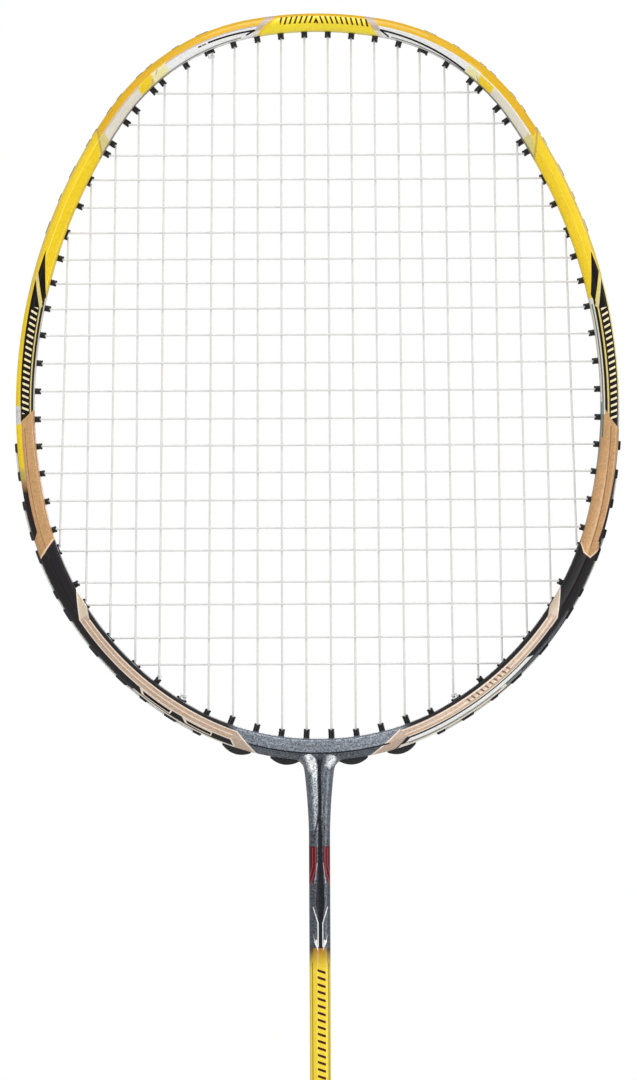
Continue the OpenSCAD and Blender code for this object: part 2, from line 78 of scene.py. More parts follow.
# ---- Sizes shared with the CAD model ----
LENGTH = CAD_BOX[1].z / MM
TUBE_W, TUBE_D, GROOVE_DEPTH = 6.6, 10.4, 1.2
HALF_W = TUBE_W / 2
STRING_D = 0.7
MAINS, CROSSES = 11, 22
MAIN_PITCH_TOP, SHOULDER_GAP, MAIN_PITCH_BOTTOM = 7.9, 1.1, 8.35
FIRST_WIDE_MAIN = 7     # from this main string out, the top ones lie SHOULDER_GAP further out
CROSS_PITCH, CROSS_START = 9.28, 27
CROSS_GAPS = [
    1.3, 1.2, -1.1, 0.2, -1.1, 0.2, -1.1, -0.6, -0.3, 0.2, 0.2,
    0.2, -0.1, -0.1, 0.2, 0.2, -0.3, 0.1, -0.5, 1.2, -0.4,
]
BARREL_D, BORE_D, BARREL_OUT, LONG_BARREL_OUT, FLANGE_OUT = 2.2, 1.44, 1.9, 3.2, 0.9
SHORT_MOUTH, LONG_MOUTH, FIRST_SHORT = HALF_W + BARREL_OUT, HALF_W + LONG_BARREL_OUT, 4
WIDE_SHIFT, CENTRE_LEAN, FIRST_PROUD_CROSS, SADDLED = 0.8, 25, 13, 4
TIE_OFF_TOP, TIE_OFF_BOTTOM, CROSS_TIE_OFF_BOTTOM = 4, 5, 6
SHARED_UPPER = [(9, 3), (10, 5)]
SHARED_LOWER = [(10, 17), (9, 19), (8, 20), (7, 21)]
GROOVE_FLOOR, GROOVE_HALF_W = HALF_W - GROOVE_DEPTH, 1.5
FLANGE_LEN, CHANNEL_W, CHANNEL_DEPTH = 3.2, 1.6, 0.8
SADDLE_LEN, SADDLE_OUT, SADDLE_RIM = 10, 2.2, 0.6
SHAFT_R = 3.6


# ---- Head outline: five arcs on each side, all tangent ----
def direction(turn):
    return np.array([math.sin(math.radians(turn)), math.cos(math.radians(turn))])


def tangent(turn):
    return np.array([math.cos(math.radians(turn)), -math.sin(math.radians(turn))])


def head_arcs():
    """The right half's arcs, each as (centre, radius of the centre line, first turn, last turn)."""
    radii, turns = [126.5, 70.5, 173.5, 107.0], [10, 44.5, 45.5, 53]
    centre, turn, arcs = np.array([0, LENGTH - HALF_W - radii[0]]), 0, []
    for k, (r, sweep) in enumerate(zip(radii, turns)):
        if k:
            centre = centre + (radii[k - 1] - r) * direction(turn)
        arcs.append((centre, r, turn, turn + sweep))
        turn += sweep
    last_r = radii[-1] + centre[0] / math.sin(math.radians(turn))
    arcs.append((centre + (radii[-1] - last_r) * direction(turn), last_r, turn, 180))
    return arcs


ARCS = head_arcs()
THROAT_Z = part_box("shaft")[1].z / MM


def hoop_point(turn, out=0.0):
    centre, r = next((a[0], a[1]) for a in ARCS if turn <= a[3])
    return centre + (r + out) * direction(turn)


def outer_length(turn):
    """Distance along the outer edge from the top centre."""
    return sum((r + HALF_W) * math.radians(min(turn, last) - first)
               for _, r, first, last in ARCS if turn > first)


def turn_at_x(x, out, upper):
    for centre, r, first, last in ARCS:
        reach = (x - centre[0]) / (r + out)
        if abs(reach) <= 1:
            up = math.degrees(math.asin(reach))
            turn = up if upper else 180 - up
            if first <= turn <= last:
                return turn


def turn_at_z(z, out):
    for centre, r, first, last in ARCS:
        reach = (z - centre[1]) / (r + out)
        if abs(reach) <= 1 and first <= math.degrees(math.acos(reach)) <= last:
            return math.degrees(math.acos(reach))


# ---- String holes: each is (turn, lean, shift) ----
LONG_TURN = turn_at_x(FIRST_SHORT * MAIN_PITCH_BOTTOM, -SHORT_MOUTH, False)


def mouth(turn):
    return LONG_MOUTH if turn > LONG_TURN else SHORT_MOUTH


def top_turn(i):
    x = (i + 0.5) * MAIN_PITCH_TOP + (SHOULDER_GAP if i >= FIRST_WIDE_MAIN else 0)
    return turn_at_x(x, -SHORT_MOUTH, True)


def bottom_turn(i):
    out = -LONG_MOUTH if i < FIRST_SHORT else -SHORT_MOUTH
    return turn_at_x((i + 0.5) * MAIN_PITCH_BOTTOM, out, False)


def cross_turn(j):
    return turn_at_z(LENGTH - CROSS_START - j * CROSS_PITCH - sum(CROSS_GAPS[:j]), -SHORT_MOUTH)


def shared(own, other):
    return ((own + other) / 2, 0, WIDE_SHIFT if own > other else -WIDE_SHIFT)


def top_hole(i):
    for main, cross in SHARED_UPPER:
        if main == i:
            return shared(top_turn(i), cross_turn(cross))
    return (top_turn(i), 0, -WIDE_SHIFT if i == TIE_OFF_TOP else 0)


def bottom_hole(i):
    for main, cross in SHARED_LOWER:
        if main == i:
            return shared(bottom_turn(i), cross_turn(cross))
    return (bottom_turn(i), CENTRE_LEAN if i == 0 else 0, WIDE_SHIFT if i == TIE_OFF_BOTTOM else 0)


def cross_hole(j):
    for table, turn_of in ((SHARED_UPPER, top_turn), (SHARED_LOWER, bottom_turn)):
        for main, cross in table:
            if cross == j:
                return shared(cross_turn(j), turn_of(main))
    return (cross_turn(j), 0, 0)


def other_way(hole):
    return (hole[0], hole[1], -hole[2])


def hole_point(hole, out):
    turn, lean, shift = hole
    m = mouth(turn)
    along = (out + m) / math.cos(math.radians(lean))
    return hoop_point(turn, -m) + shift * tangent(turn) + along * direction(turn - lean)


# How far short of its full reach a barrel ends: in a wide hole, near the top of the head, and elsewhere
WIDE_SHORT, TOP_SHORT, SHORT = 1.05, 0.4, 0.1
TOP_STRETCH = 62        # how far from the top centre the top barrels reach, along the outer edge


def shown_reach(hole):
    """How far inside the centre line a barrel is seen to end."""
    near_top = outer_length(hole[0]) < TOP_STRETCH
    return mouth(hole[0]) - (WIDE_SHORT if hole[2] else TOP_SHORT if near_top else SHORT)


def mouth_point(hole):
    return hole_point(hole, -shown_reach(hole))


FIRST_PROUD_TURN = cross_turn(FIRST_PROUD_CROSS) - 0.1


def flange_top(turn):
    return HALF_W + (FLANGE_OUT if turn >= FIRST_PROUD_TURN else 0)


def string_out(turn):
    """How far outside the centre line a string lies in a flange's channel."""
    return flange_top(turn) - CHANNEL_DEPTH + STRING_D / 2 + 0.02


# ---- Mesh helpers ----
def grid_faces(rows, columns, close_rows=False, close_columns=True):
    faces = []
    for r in range(rows if close_rows else rows - 1):
        for c in range(columns if close_columns else columns - 1):
            a, b = r * columns, (r + 1) % rows * columns
            d = (c + 1) % columns
            faces.append((a + c, a + d, b + d, b + c))
    return faces


class Shape:
    """Vertices, faces and named values per vertex, collected before the mesh is made."""

    def __init__(self):
        self.points, self.faces, self.values = [], [], {}

    def add(self, points, faces, **values):
        base = len(self.points)
        self.points += [tuple(p) for p in points]
        self.faces += [tuple(base + i for i in face) for face in faces]
        for name, numbers in values.items():
            self.values.setdefault(name, []).extend(numbers)

    def loft(self, rings, caps=True, close=False, **values):
        """Joins rings, each a closed loop of as many points."""
        n = len(rings[0])
        faces = grid_faces(len(rings), n, close_rows=close)
        if caps and not close:
            last = (len(rings) - 1) * n
            faces += [tuple(range(n - 1, -1, -1)), tuple(last + i for i in range(n))]
        self.add([p for ring in rings for p in ring], faces, **values)

    def make(self, name, material, slot, replaced=(), sharp=40, bevel=0.0):
        mesh = bpy.data.meshes.new(name)
        mesh.from_pydata([tuple(c * MM for c in p) for p in self.points], [], self.faces)
        for key, numbers in self.values.items():
            mesh.attributes.new(key, "FLOAT", "POINT").data.foreach_set("value", numbers)
        work = bmesh.new()
        work.from_mesh(mesh)
        bmesh.ops.recalc_face_normals(work, faces=work.faces)
        work.to_mesh(mesh)
        work.free()
        mesh.polygons.foreach_set("use_smooth", [True] * len(mesh.polygons))
        mesh.set_sharp_from_angle(angle=math.radians(sharp))
        piece = bpy.data.objects.new(name, mesh)
        bpy.context.scene.collection.objects.link(piece)
        mesh.materials.append(material)
        if bevel:
            rounding = piece.modifiers.new("rounding", "BEVEL")
            rounding.width, rounding.segments, rounding.limit_method = bevel * MM, 2, "ANGLE"
            rounding.angle_limit, rounding.harden_normals = math.radians(35), True
        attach(piece, "root")
        if replaced:
            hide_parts(*replaced)


def rounded(corners, steps=4):
    """A polyline with each corner (u, v, radius) turned into a short curve."""
    spots = [np.array(c[:2], float) for c in corners]
    line = []
    for k, (u, v, radius) in enumerate(corners):
        if radius == 0 or k in (0, len(corners) - 1):
            line.append(spots[k])
            continue
        ends = []
        for other in (spots[k - 1], spots[k + 1]):
            run = other - spots[k]
            reach = min(radius, 0.45 * np.linalg.norm(run))
            ends.append(spots[k] + run / np.linalg.norm(run) * reach)
        for t in np.linspace(0, 1, steps):
            line.append((1 - t) ** 2 * ends[0] + 2 * t * (1 - t) * spots[k] + t * t * ends[1])
    return line


def circle_angles(count):
    return np.linspace(0, 2 * math.pi, count, endpoint=False)


def lathe(shape, profile, sides, closed=False):
    """Turns a profile of (radius, z) about the Z axis."""
    rings = [[(r * math.cos(a), r * math.sin(a), z) for a in circle_angles(sides)] for r, z in profile]
    shape.loft(rings, close=closed)


# ---- Materials ----
def linear(colour):
    """An sRGB colour of 0 to 255 as linear values."""
    return tuple((c / 255 / 12.92 if c <= 10 else ((c / 255 + 0.055) / 1.055) ** 2.4) for c in colour) + (1,)


class Finish:
    """One node material: short calls add nodes, in the order in which they are worked out."""

    def __init__(self, name, **sockets):
        self.material = bpy.data.materials.new(name)
        self.material.use_nodes = True
        self.tree = self.material.node_tree
        self.shader = next(n for n in self.tree.nodes if n.type == "BSDF_PRINCIPLED")
        for socket, value in sockets.items():
            self.shader.inputs[socket.replace("_", " ")].default_value = value

    def node(self, kind, inputs=(), **settings):
        made = self.tree.nodes.new(kind)
        for key, value in settings.items():
            setattr(made, key, value)
        for key, value in dict(inputs).items():
            if isinstance(value, bpy.types.NodeSocket):
                self.tree.links.new(value, made.inputs[key])
            else:
                made.inputs[key].default_value = value
        return made

    def feed(self, socket, value):
        self.tree.links.new(value, self.shader.inputs[socket])

    def math(self, operation, a, b=0.0, c=0.0, clamp=False):
        made = self.node("ShaderNodeMath", {0: a, 1: b, 2: c}, operation=operation, use_clamp=clamp)
        return made.outputs[0]

    def value(self, name):
        return self.node("ShaderNodeAttribute", attribute_name=name).outputs["Fac"]

    def place(self):
        return self.node("ShaderNodeTexCoord").outputs["Object"]

    def xyz(self, vector):
        parts = self.node("ShaderNodeSeparateXYZ", {0: vector})
        return [parts.outputs[k] for k in range(3)]

    def vector(self, x, y, z=0.0):
        return self.node("ShaderNodeCombineXYZ", {0: x, 1: y, 2: z}).outputs[0]

    def millimetres(self, place):
        return [self.math("MULTIPLY", part, 1 / MM) for part in self.xyz(place)]

    def between(self, factor, dark, light):
        """A mix of two sRGB colours."""
        return self.mix(factor, linear(dark), linear(light))

    def done(self, colour, roughness, normal):
        self.feed("Base Color", colour)
        self.feed("Roughness", roughness)
        self.feed("Normal", normal)
        return self.material

    def stretch(self, vector, scale):
        return self.node("ShaderNodeVectorMath", {0: vector, 1: scale}, operation="MULTIPLY").outputs[0]

    def noise(self, vector, scale, detail=2.0, roughness=0.5):
        inputs = {"Vector": vector, "Scale": scale, "Detail": detail, "Roughness": roughness}
        return self.node("ShaderNodeTexNoise", inputs).outputs["Fac"]

    def cells(self, vector, scale):
        """A random grey per small cell."""
        found = self.node("ShaderNodeTexVoronoi", {"Vector": vector, "Scale": scale})
        return self.node("ShaderNodeSeparateColor", {0: found.outputs["Color"]}).outputs[0]

    def ramp(self, value, low, high, to_low=0.0, to_high=1.0):
        inputs = {0: value, 1: low, 2: high, 3: to_low, 4: to_high}
        return self.node("ShaderNodeMapRange", inputs).outputs[0]

    def mix(self, factor, a, b, blend="MIX"):
        made = self.node("ShaderNodeMix", data_type="RGBA", blend_type=blend)
        for key, value in ((0, factor), (6, a), (7, b)):
            if isinstance(value, bpy.types.NodeSocket):
                self.tree.links.new(value, made.inputs[key])
            else:
                made.inputs[key].default_value = value
        return made.outputs[2]

    def bump(self, height, distance, strength=1.0, normal=None):
        inputs = {"Height": height, "Distance": distance * MM, "Strength": strength}
        if normal is not None:
            inputs["Normal"] = normal
        return self.node("ShaderNodeBump", inputs).outputs[0]

    def inside(self, place, outline, soft=0.12):
        """1 inside a convex outline of (s, u) points, 0 outside; place holds (s, u, 1)."""
        middle = np.mean(outline, axis=0)
        least = None
        for a, b in zip(outline, outline[1:] + outline[:1]):
            run = np.subtract(b, a)
            normal = np.array([-run[1], run[0]]) / np.linalg.norm(run)
            if normal @ (middle - a) < 0:
                normal = -normal
            line = (normal[0], normal[1], -float(normal @ a))
            product = self.node("ShaderNodeVectorMath", {0: place, 1: line}, operation="DOT_PRODUCT")
            gap = product.outputs["Value"]
            least = gap if least is None else self.math("MINIMUM", least, gap)
        return self.math("MULTIPLY_ADD", least, 1 / soft, 0.5, clamp=True)

    def bars(self, along, pitch, share):
        """Repeating bars along a value."""
        phase = self.math("FRACT", self.math("DIVIDE", along, pitch))
        return self.math("COMPARE", phase, 0.5, share / 2)

    def grey(self, value):
        return self.node("ShaderNodeCombineColor", {0: value, 1: value, 2: value}).outputs[0]

    def painted(self, colour, metal, mask, paint):
        """The colour and how metallic it is, with one more paint over them."""
        inputs = {0: mask, 2: metal, 3: GLEAM.get(paint, 0.08)}
        metal = self.node("ShaderNodeMix", inputs, data_type="FLOAT").outputs[0]
        return self.mix(mask, colour, linear(paint)), metal


def stroke(a, b, width):
    """A thin bar from a to b, as an outline."""
    a, b = np.array(a, float), np.array(b, float)
    run = (b - a) / np.linalg.norm(b - a)
    side = np.array([-run[1], run[0]]) * width / 2
    return [tuple(a + side), tuple(b + side), tuple(b - side), tuple(a - side)]


ORANGE, YELLOW, LEMON, PALE_GOLD = (234, 184, 30), (255, 230, 40), (253, 216, 26), (236, 204, 84)
SILVER, PEARL, SLASH, GREY_LINE = (220, 220, 224), (236, 230, 214), (203, 186, 170), (134, 130, 114)
BLACK, CHARCOAL, MAROON, CREAM = (24, 19, 19), (40, 38, 40), (70, 30, 28), (250, 236, 190)
TAN, TAN_DARK, PEACH = (203, 158, 108), (168, 124, 82), (250, 212, 180)
SAND, SAND_DARK = (196, 173, 154), (120, 88, 74)
DARK_BROWN, STEEL, STEEL_LIGHT, WHITE = (44, 34, 36), (90, 95, 103), (131, 137, 147), (250, 250, 250)
RED, RED_DARK, BRONZE = (190, 58, 68), (82, 32, 40), (182, 130, 36)
OLIVE, STEEL_DARK, PALE_YELLOW = (200, 178, 90), (38, 40, 46), (250, 242, 176)
OLIVE_CREAM, ROSE_WHITE, LAVENDER = (226, 212, 140), (246, 228, 212), (205, 185, 192)
TEAL_DARK, TEAL_GREY, PALE_SAND, OLIVE_DARK = (90, 110, 110), (124, 138, 134), (214, 196, 172), (140, 116, 44)
GLEAM = {STEEL: 0.75, STEEL_LIGHT: 0.7, STEEL_DARK: 0.45, TAN: 0.2, SAND: 0.22, TAN_DARK: 0.2, SILVER: 0.2}

# Paint of the head, bottom layer first: side, colour, outline in (s, u), and how soft its edges are
BOTH = 0
IN, OUT = -9.5, 1.0
HEAD_PAINT = [
    (BOTH, ORANGE, [(-1, OUT), (89, OUT), (91, -2.8), (-1, -2.8)]),
    (LEFT, OLIVE, [(210, OUT), (246, OUT), (246, -3), (210, -3)], 2.5),
    (LEFT, TAN_DARK, [(214, OUT), (246, OUT), (246, -3), (214, -3)], 2.5),
    (LEFT, DARK_BROWN, [(217, OUT), (246, OUT), (246, -3), (217, -3)], 2.5),
    (BOTH, TAN, [(187, -1.9), (246, -1.9), (246, IN), (186, IN)]),
    (RIGHT, TAN, [(192, OUT), (236, -0.9), (242, -1.8), (242, -8), (192, -8)]),
    (BOTH, CHARCOAL, [(236.5, OUT), (350, OUT), (350, IN), (236.5, IN)]),
    (BOTH, STEEL_LIGHT, [(344, OUT), (370, OUT), (370, IN), (329, IN)], 3),
    # The white, yellow and pearl fields of the upper half
    (BOTH, YELLOW, [(-1, -1), (13.5, -1), (25, IN), (-1, IN)]),
    (RIGHT, YELLOW, [(12, -1), (16.3, -1), (25.6, IN), (12, IN)]),
    (LEFT, WHITE, [(19, -2.8), (62, -2.8), (64, IN), (24, IN)]),
    (RIGHT, WHITE, [(20.5, -2.8), (62, -2.8), (64, IN), (25, IN)]),
    (LEFT, PALE_YELLOW, [(56, -2.8), (62, -2.8), (64, IN), (57, IN)], 1.5),
    (RIGHT, PALE_YELLOW, [(57, -2.8), (62, -2.8), (64, IN), (58, IN)], 1.5),
    (LEFT, SLASH, [(12.2, OUT), (15.8, OUT), (22, -4.4), (19.6, -4.4)]),
    (LEFT, PEARL, [(19.6, -4.4), (22, -4.4), (23.2, -6.4), (21.2, -6.4)]),
    (RIGHT, SLASH, [(15.2, OUT), (18.9, OUT), (22.9, -4.4), (20.4, -4.4)]),
    (RIGHT, PEARL, [(20.4, -4.4), (22.9, -4.4), (24.2, -6.4), (22.2, -6.4)]),
    (LEFT, BLACK, stroke((21.4, -4.15), (39, -3.8), 0.6)),
    (LEFT, BLACK, stroke((21.8, -4.2), (25, -5.2), 0.55)),
    (LEFT, GREY_LINE, stroke((39.8, -3.85), (41.4, -3.85), 0.5)),
    (LEFT, BLACK, stroke((41.6, -3.85), (42.9, -3.85), 0.5)),
    (RIGHT, BLACK, stroke((22.5, -4.0), (57, -5.4), 0.62)),
    (RIGHT, BLACK, stroke((22.8, -4.1), (26.2, -5.7), 0.55)),
    (LEFT, SLASH, stroke((59.3, -2.7), (60.9, -3.7), 0.4)),
    (LEFT, SLASH, stroke((62.8, -4.2), (65.2, -5.9), 0.45)),
    (RIGHT, SLASH, stroke((61.5, -4.4), (64.8, -6.3), 0.4)),
    (BOTH, PEARL, [(69, -3.1), (89, -2.8), (93, IN), (70.5, IN)]),
    (BOTH, OLIVE_CREAM, [(88.6, -2.8), (91.2, -2.8), (97.5, -6.5), (97.5, IN), (91.5, IN)]),
    (LEFT, LAVENDER, stroke((20, -2.9), (56, -2.9), 0.35)),
    (LEFT, LAVENDER, stroke((68, -2.9), (89, -2.9), 0.35)),
    # Painted highlight: a white line along the ridge of the right side
    (RIGHT, WHITE, stroke((57, -3.2), (90, -3.2), 0.3)),
    # Painted shade: a grey line along the inner edge, where the tube's inner wall turns away
    (BOTH, GREY_LINE, stroke((27, -5.6), (97, -6.1), 0.32)),
    (LEFT, OLIVE, stroke((87.8, 0.5), (96, -6.6), 0.7)),
    (RIGHT, OLIVE, stroke((89, 0.4), (98.5, -6.8), 0.7)),
    (BOTH, PALE_GOLD, [(90.5, OUT), (150, OUT), (150, -1), (92.5, -1)]),
    # The black shards and the slab with its cream edges
    (LEFT, BLACK, [(134, -1.9), (142, -1.6), (153.6, -6.1), (149.3, -6.1)]),
    (RIGHT, BLACK, [(135, -1.3), (142.5, -0.7), (153.6, -4.9), (149.5, -5.3)]),
    (RIGHT, PEARL, [(151, -4.9), (192, -4.9), (192, IN), (150, IN)]),
    (LEFT, PEARL, [(150, -5.9), (190, -5.9), (188, IN), (149, IN)]),
    (RIGHT, TEAL_DARK, stroke((153, -5.6), (200, -5.6), 0.4)),
    (LEFT, BLACK, [(152, -5.2), (190.6, -5.2), (189.6, -5.95), (151, -5.95)]),
    (RIGHT, BLACK, [(153, -4.1), (191.4, -4.1), (190.2, -4.95), (150, -4.95)]),
    (LEFT, OLIVE_CREAM, [(142, -1.4), (144.4, -1.1), (154.4, -4.8), (153, -5.6)]),
    (RIGHT, OLIVE_CREAM, [(142.5, -0.4), (145.2, -0.2), (155, -3.6), (153.9, -4.7)]),
    (LEFT, BLACK, [(144.2, -1.3), (193.8, -1.7), (190.8, -4.8), (154, -4.8)]),
    (RIGHT, PALE_YELLOW, stroke((144, -0.2), (190, -0.2), 0.5)),
    (RIGHT, BLACK, [(145, -0.5), (196.4, -0.5), (192.8, -3.5), (154.6, -3.6)]),
    (LEFT, OLIVE_CREAM, stroke((153.3, -5.02), (191, -5.02), 0.36)),
    (RIGHT, OLIVE_CREAM, stroke((154, -3.8), (191.6, -3.8), 0.38)),
    (RIGHT, SILVER, [(186, OUT), (197.6, OUT), (196.6, -0.5), (186, -0.4)], 0.5),
    (LEFT, SILVER, [(188, OUT), (194.8, OUT), (194.4, -1.6), (188.5, -1.6)], 0.7),
    # Tan up to its slanted end
    (LEFT, TAN, [(232, -1.95), (236.6, OUT), (241.4, OUT), (240.2, -1.9), (236.2, -6.2), (232, -6.2)]),
    (RIGHT, TAN, [(232, -1), (242.2, -1.8), (241.2, -4.4), (238.4, -6.3), (235.5, -8), (232, -8)]),
    (RIGHT, TEAL_GREY, [(188, -5.7), (216, -6.6), (206, IN), (184, IN)], 0.5),
    (RIGHT, TAN, [(234.5, -1.3), (238.4, 0), (242, -2.0)]),
    (RIGHT, DARK_BROWN, [(203, OUT), (237.6, OUT), (236, -1.1), (205, -0.1)]),
    # Painted shade: a dark line in the crease between the two faces
    (BOTH, TAN_DARK, stroke((196, -2.95), (239, -2.95), 0.45)),
    (LEFT, PEACH, stroke((241.2, 0.2), (236.2, -6.4), 0.55)),
    (RIGHT, PEACH, stroke((238.4, 0.1), (242.3, -1.9), 0.5)),
    (RIGHT, PEACH, stroke((242.2, -1.7), (241.2, -4.5), 0.5)),
    (RIGHT, PEACH, stroke((241.3, -4.3), (238.2, -6.5), 0.5)),
    # The sand panel with its pale edges, and the slots beside it
    (BOTH, PALE_SAND, [(255.4, -7.2), (266, -2.2), (270, -2.2), (268, -5.1), (262.5, -7.2)]),
    (LEFT, SAND, [(266, -2.2), (335, -2.2), (335.2, -5.1), (266, -5.1)]),
    (RIGHT, SAND, [(266, -2.5), (335, -2.8), (335.5, -5.7), (266, -5.3)]),
    (LEFT, SAND, [(333.6, -2.4), (336.8, OUT), (345, OUT), (335.4, -5.1), (333, -5.1)]),
    (RIGHT, SAND, [(333, -2.9), (337.5, -0.9), (341, OUT), (349, OUT), (335.6, -5.9), (333, -5.6)]),
    (RIGHT, STEEL, [(262, OUT), (296, OUT), (296, -0.7), (262, -0.7)], 0.8),
    (RIGHT, TEAL_GREY, [(288, OUT), (297, OUT), (297, -0.7), (288, -0.7)], 0.8),
    (RIGHT, PEARL, [(295, OUT), (340, OUT), (336.8, -0.9), (295, -0.95)]),
    (RIGHT, WHITE, [(281.3, -1.05), (335, -1.05), (333, -2.1), (283.5, -2.1)]),
    (RIGHT, BLACK, stroke((281, -2.4), (298, -2.4), 0.35)),
    (RIGHT, DARK_BROWN, stroke((297, -0.7), (334, -0.7), 0.22)),
    (LEFT, PEARL, [(296, OUT), (336, OUT), (336, -0.4), (296, -0.4)]),
    (LEFT, ROSE_WHITE, [(297.4, -2.1), (299.4, -0.7), (311.2, -0.7), (311.5, -2.1)]),
    (LEFT, BLACK, [(299, -1.85), (300.2, -0.95), (310.8, -0.95), (310.8, -1.85)]),
    (LEFT, ROSE_WHITE, [(315.3, -2.1), (317.3, -0.8), (327.2, -0.8), (327.2, -2.1)]),
    (LEFT, BLACK, [(316.9, -1.85), (318, -1.05), (326.8, -1.05), (326.8, -1.85)]),
    (BOTH, TAN, stroke((267, -3.15), (334, -3.3), 0.2)),
    (BOTH, ROSE_WHITE, stroke((267, -3.75), (334, -3.9), 0.24)),
    (BOTH, TAN, stroke((267, -4.5), (334, -4.7), 0.2)),
    # Painted shade: a dark line in the crease between the two faces of the charcoal part
    (BOTH, BLACK, stroke((242.4, -2.9), (262, -2.9), 0.4)),
    (BOTH, ROSE_WHITE, stroke((255.8, -7), (266.3, -2.3), 0.4)),
    (LEFT, ROSE_WHITE, stroke((265.8, -2.32), (334.2, -2.32), 0.36)),
    (RIGHT, ROSE_WHITE, stroke((265.8, -2.5), (333.4, -2.85), 0.36)),
    (BOTH, ROSE_WHITE, stroke((268, -5.05), (335, -5.35), 0.34)),
    (LEFT, ROSE_WHITE, stroke((333.8, -2.5), (337.1, 0.8), 0.36)),
    (LEFT, STEEL_LIGHT, [(345.2, OUT), (370, OUT), (370, IN), (335, -5.5)]),
    # Painted shade: the outer face, turned down and out, is painted darker steel than the inner face
    (LEFT, STEEL, [(345.2, OUT), (370, OUT), (370, -2.8), (340.2, -2.8)]),
    (LEFT, ROSE_WHITE, stroke((345.2, OUT), (335, -5.5), 0.45)),
    (RIGHT, STEEL_LIGHT, [(349.6, OUT), (370, OUT), (370, IN), (335.4, -5.9)]),
    # Painted shade: the outer face, turned down and out, is painted darker steel than the inner face
    (RIGHT, STEEL, [(349.6, OUT), (370, OUT), (370, -2.8), (341.8, -2.8)]),
    (RIGHT, ROSE_WHITE, stroke((349.6, OUT), (335.4, -5.9), 0.45)),
    # Painted shade: a dark band in the crease between the two faces
    (BOTH, STEEL_DARK, [(340, -2.35), (366, -2.35), (366, -2.85), (341, -2.85)]),
]
# Slanted blocks where the racket carries printing: side, colour, s range, u range, pitch, share
HEAD_BARS = [
    (LEFT, MAROON, (-1, 12.6), (-0.95, -3.5), 1.75, 0.38),
    (RIGHT, MAROON, (-1, 18.6), (-1.1, -3.6), 1.75, 0.38),
    (LEFT, CREAM, (153.8, 191), (-2.2, -4.4), 2.1, 0.36),
    (RIGHT, CREAM, (155, 194), (-0.9, -3.0), 2.1, 0.36),
    (RIGHT, SAND_DARK, (290, 310), (-3.5, -4.9), 2.0, 0.38),
]


def lacquer_shine(finish, colour, metal, place):
    """Flake, cloudy shade and a clear coat over the paint; dark paint shines less."""
    flake = finish.cells(place, 2900)
    spark = finish.ramp(flake, 0, 1, 0.15, 1.95)
    shade = finish.math("MULTIPLY_ADD", finish.math("SUBTRACT", spark, 1), metal, 1)
    cloud = finish.ramp(finish.noise(place, 60, 3), 0.3, 0.7, 0.96, 1.04)
    paint = finish.mix(1.0, colour, finish.grey(finish.math("MULTIPLY", shade, cloud)), "MULTIPLY")
    finish.feed("Base Color", paint)
    light = finish.ramp(finish.node("ShaderNodeRGBToBW", {0: paint}).outputs[0], 0.01, 0.25)
    finish.feed("Metallic", finish.math("MULTIPLY", metal, 0.7))
    finish.feed("Coat Weight", finish.math("MULTIPLY_ADD", light, 0.3, 0.04))
    finish.feed("Specular IOR Level", finish.math("MULTIPLY_ADD", light, 0.2, 0.14))
    finish.feed("Roughness", finish.ramp(finish.noise(place, 900, 2), 0.2, 0.8, 0.3, 0.44))
    peel = finish.bump(finish.noise(place, 700, 2), 0.02, 0.35)
    finish.feed("Normal", finish.bump(finish.math("MULTIPLY", flake, metal), 0.03, 0.5, peel))


def frame_lacquer():
    finish = Finish("frame_lacquer", Coat_Roughness=0.08)
    place = finish.place()
    s, u = finish.value("s"), finish.value("u")
    x = finish.xyz(place)[0]
    spots = {BOTH: finish.vector(s, u, 1.0)}
    for side, test in ((LEFT, "GREATER_THAN"), (RIGHT, "LESS_THAN")):
        away = finish.math("MULTIPLY", finish.math(test, x, 0), 2000)
        spots[side] = finish.vector(finish.math("ADD", s, away), u, 1.0)
    colour, metal = linear(LEMON), 0.1
    for side, paint, outline, *soft in HEAD_PAINT:
        mask = finish.inside(spots[side], outline, *soft)
        colour, metal = finish.painted(colour, metal, mask, paint)
    slant = finish.math("MULTIPLY_ADD", u, 0.4, s)
    for side, paint, (start, end), (high, low), pitch, share in HEAD_BARS:
        field = finish.inside(spots[side], [(start, high), (end, high), (end, low), (start, low)])
        bars = finish.math("MULTIPLY", field, finish.bars(slant, pitch, share))
        colour = finish.mix(bars, colour, linear(paint))
    streak = finish.noise(finish.stretch(spots[BOTH], (0.05, 2.2, 0)), 1.0, 4)
    streaked = finish.mix(1.0, colour, finish.grey(finish.ramp(streak, 0.3, 0.7, 0.8, 1.16)), "MULTIPLY")
    colour = finish.mix(finish.math("MULTIPLY", metal, 2.0, clamp=True), colour, streaked)
    lacquer_shine(finish, colour, metal, place)
    return finish.material


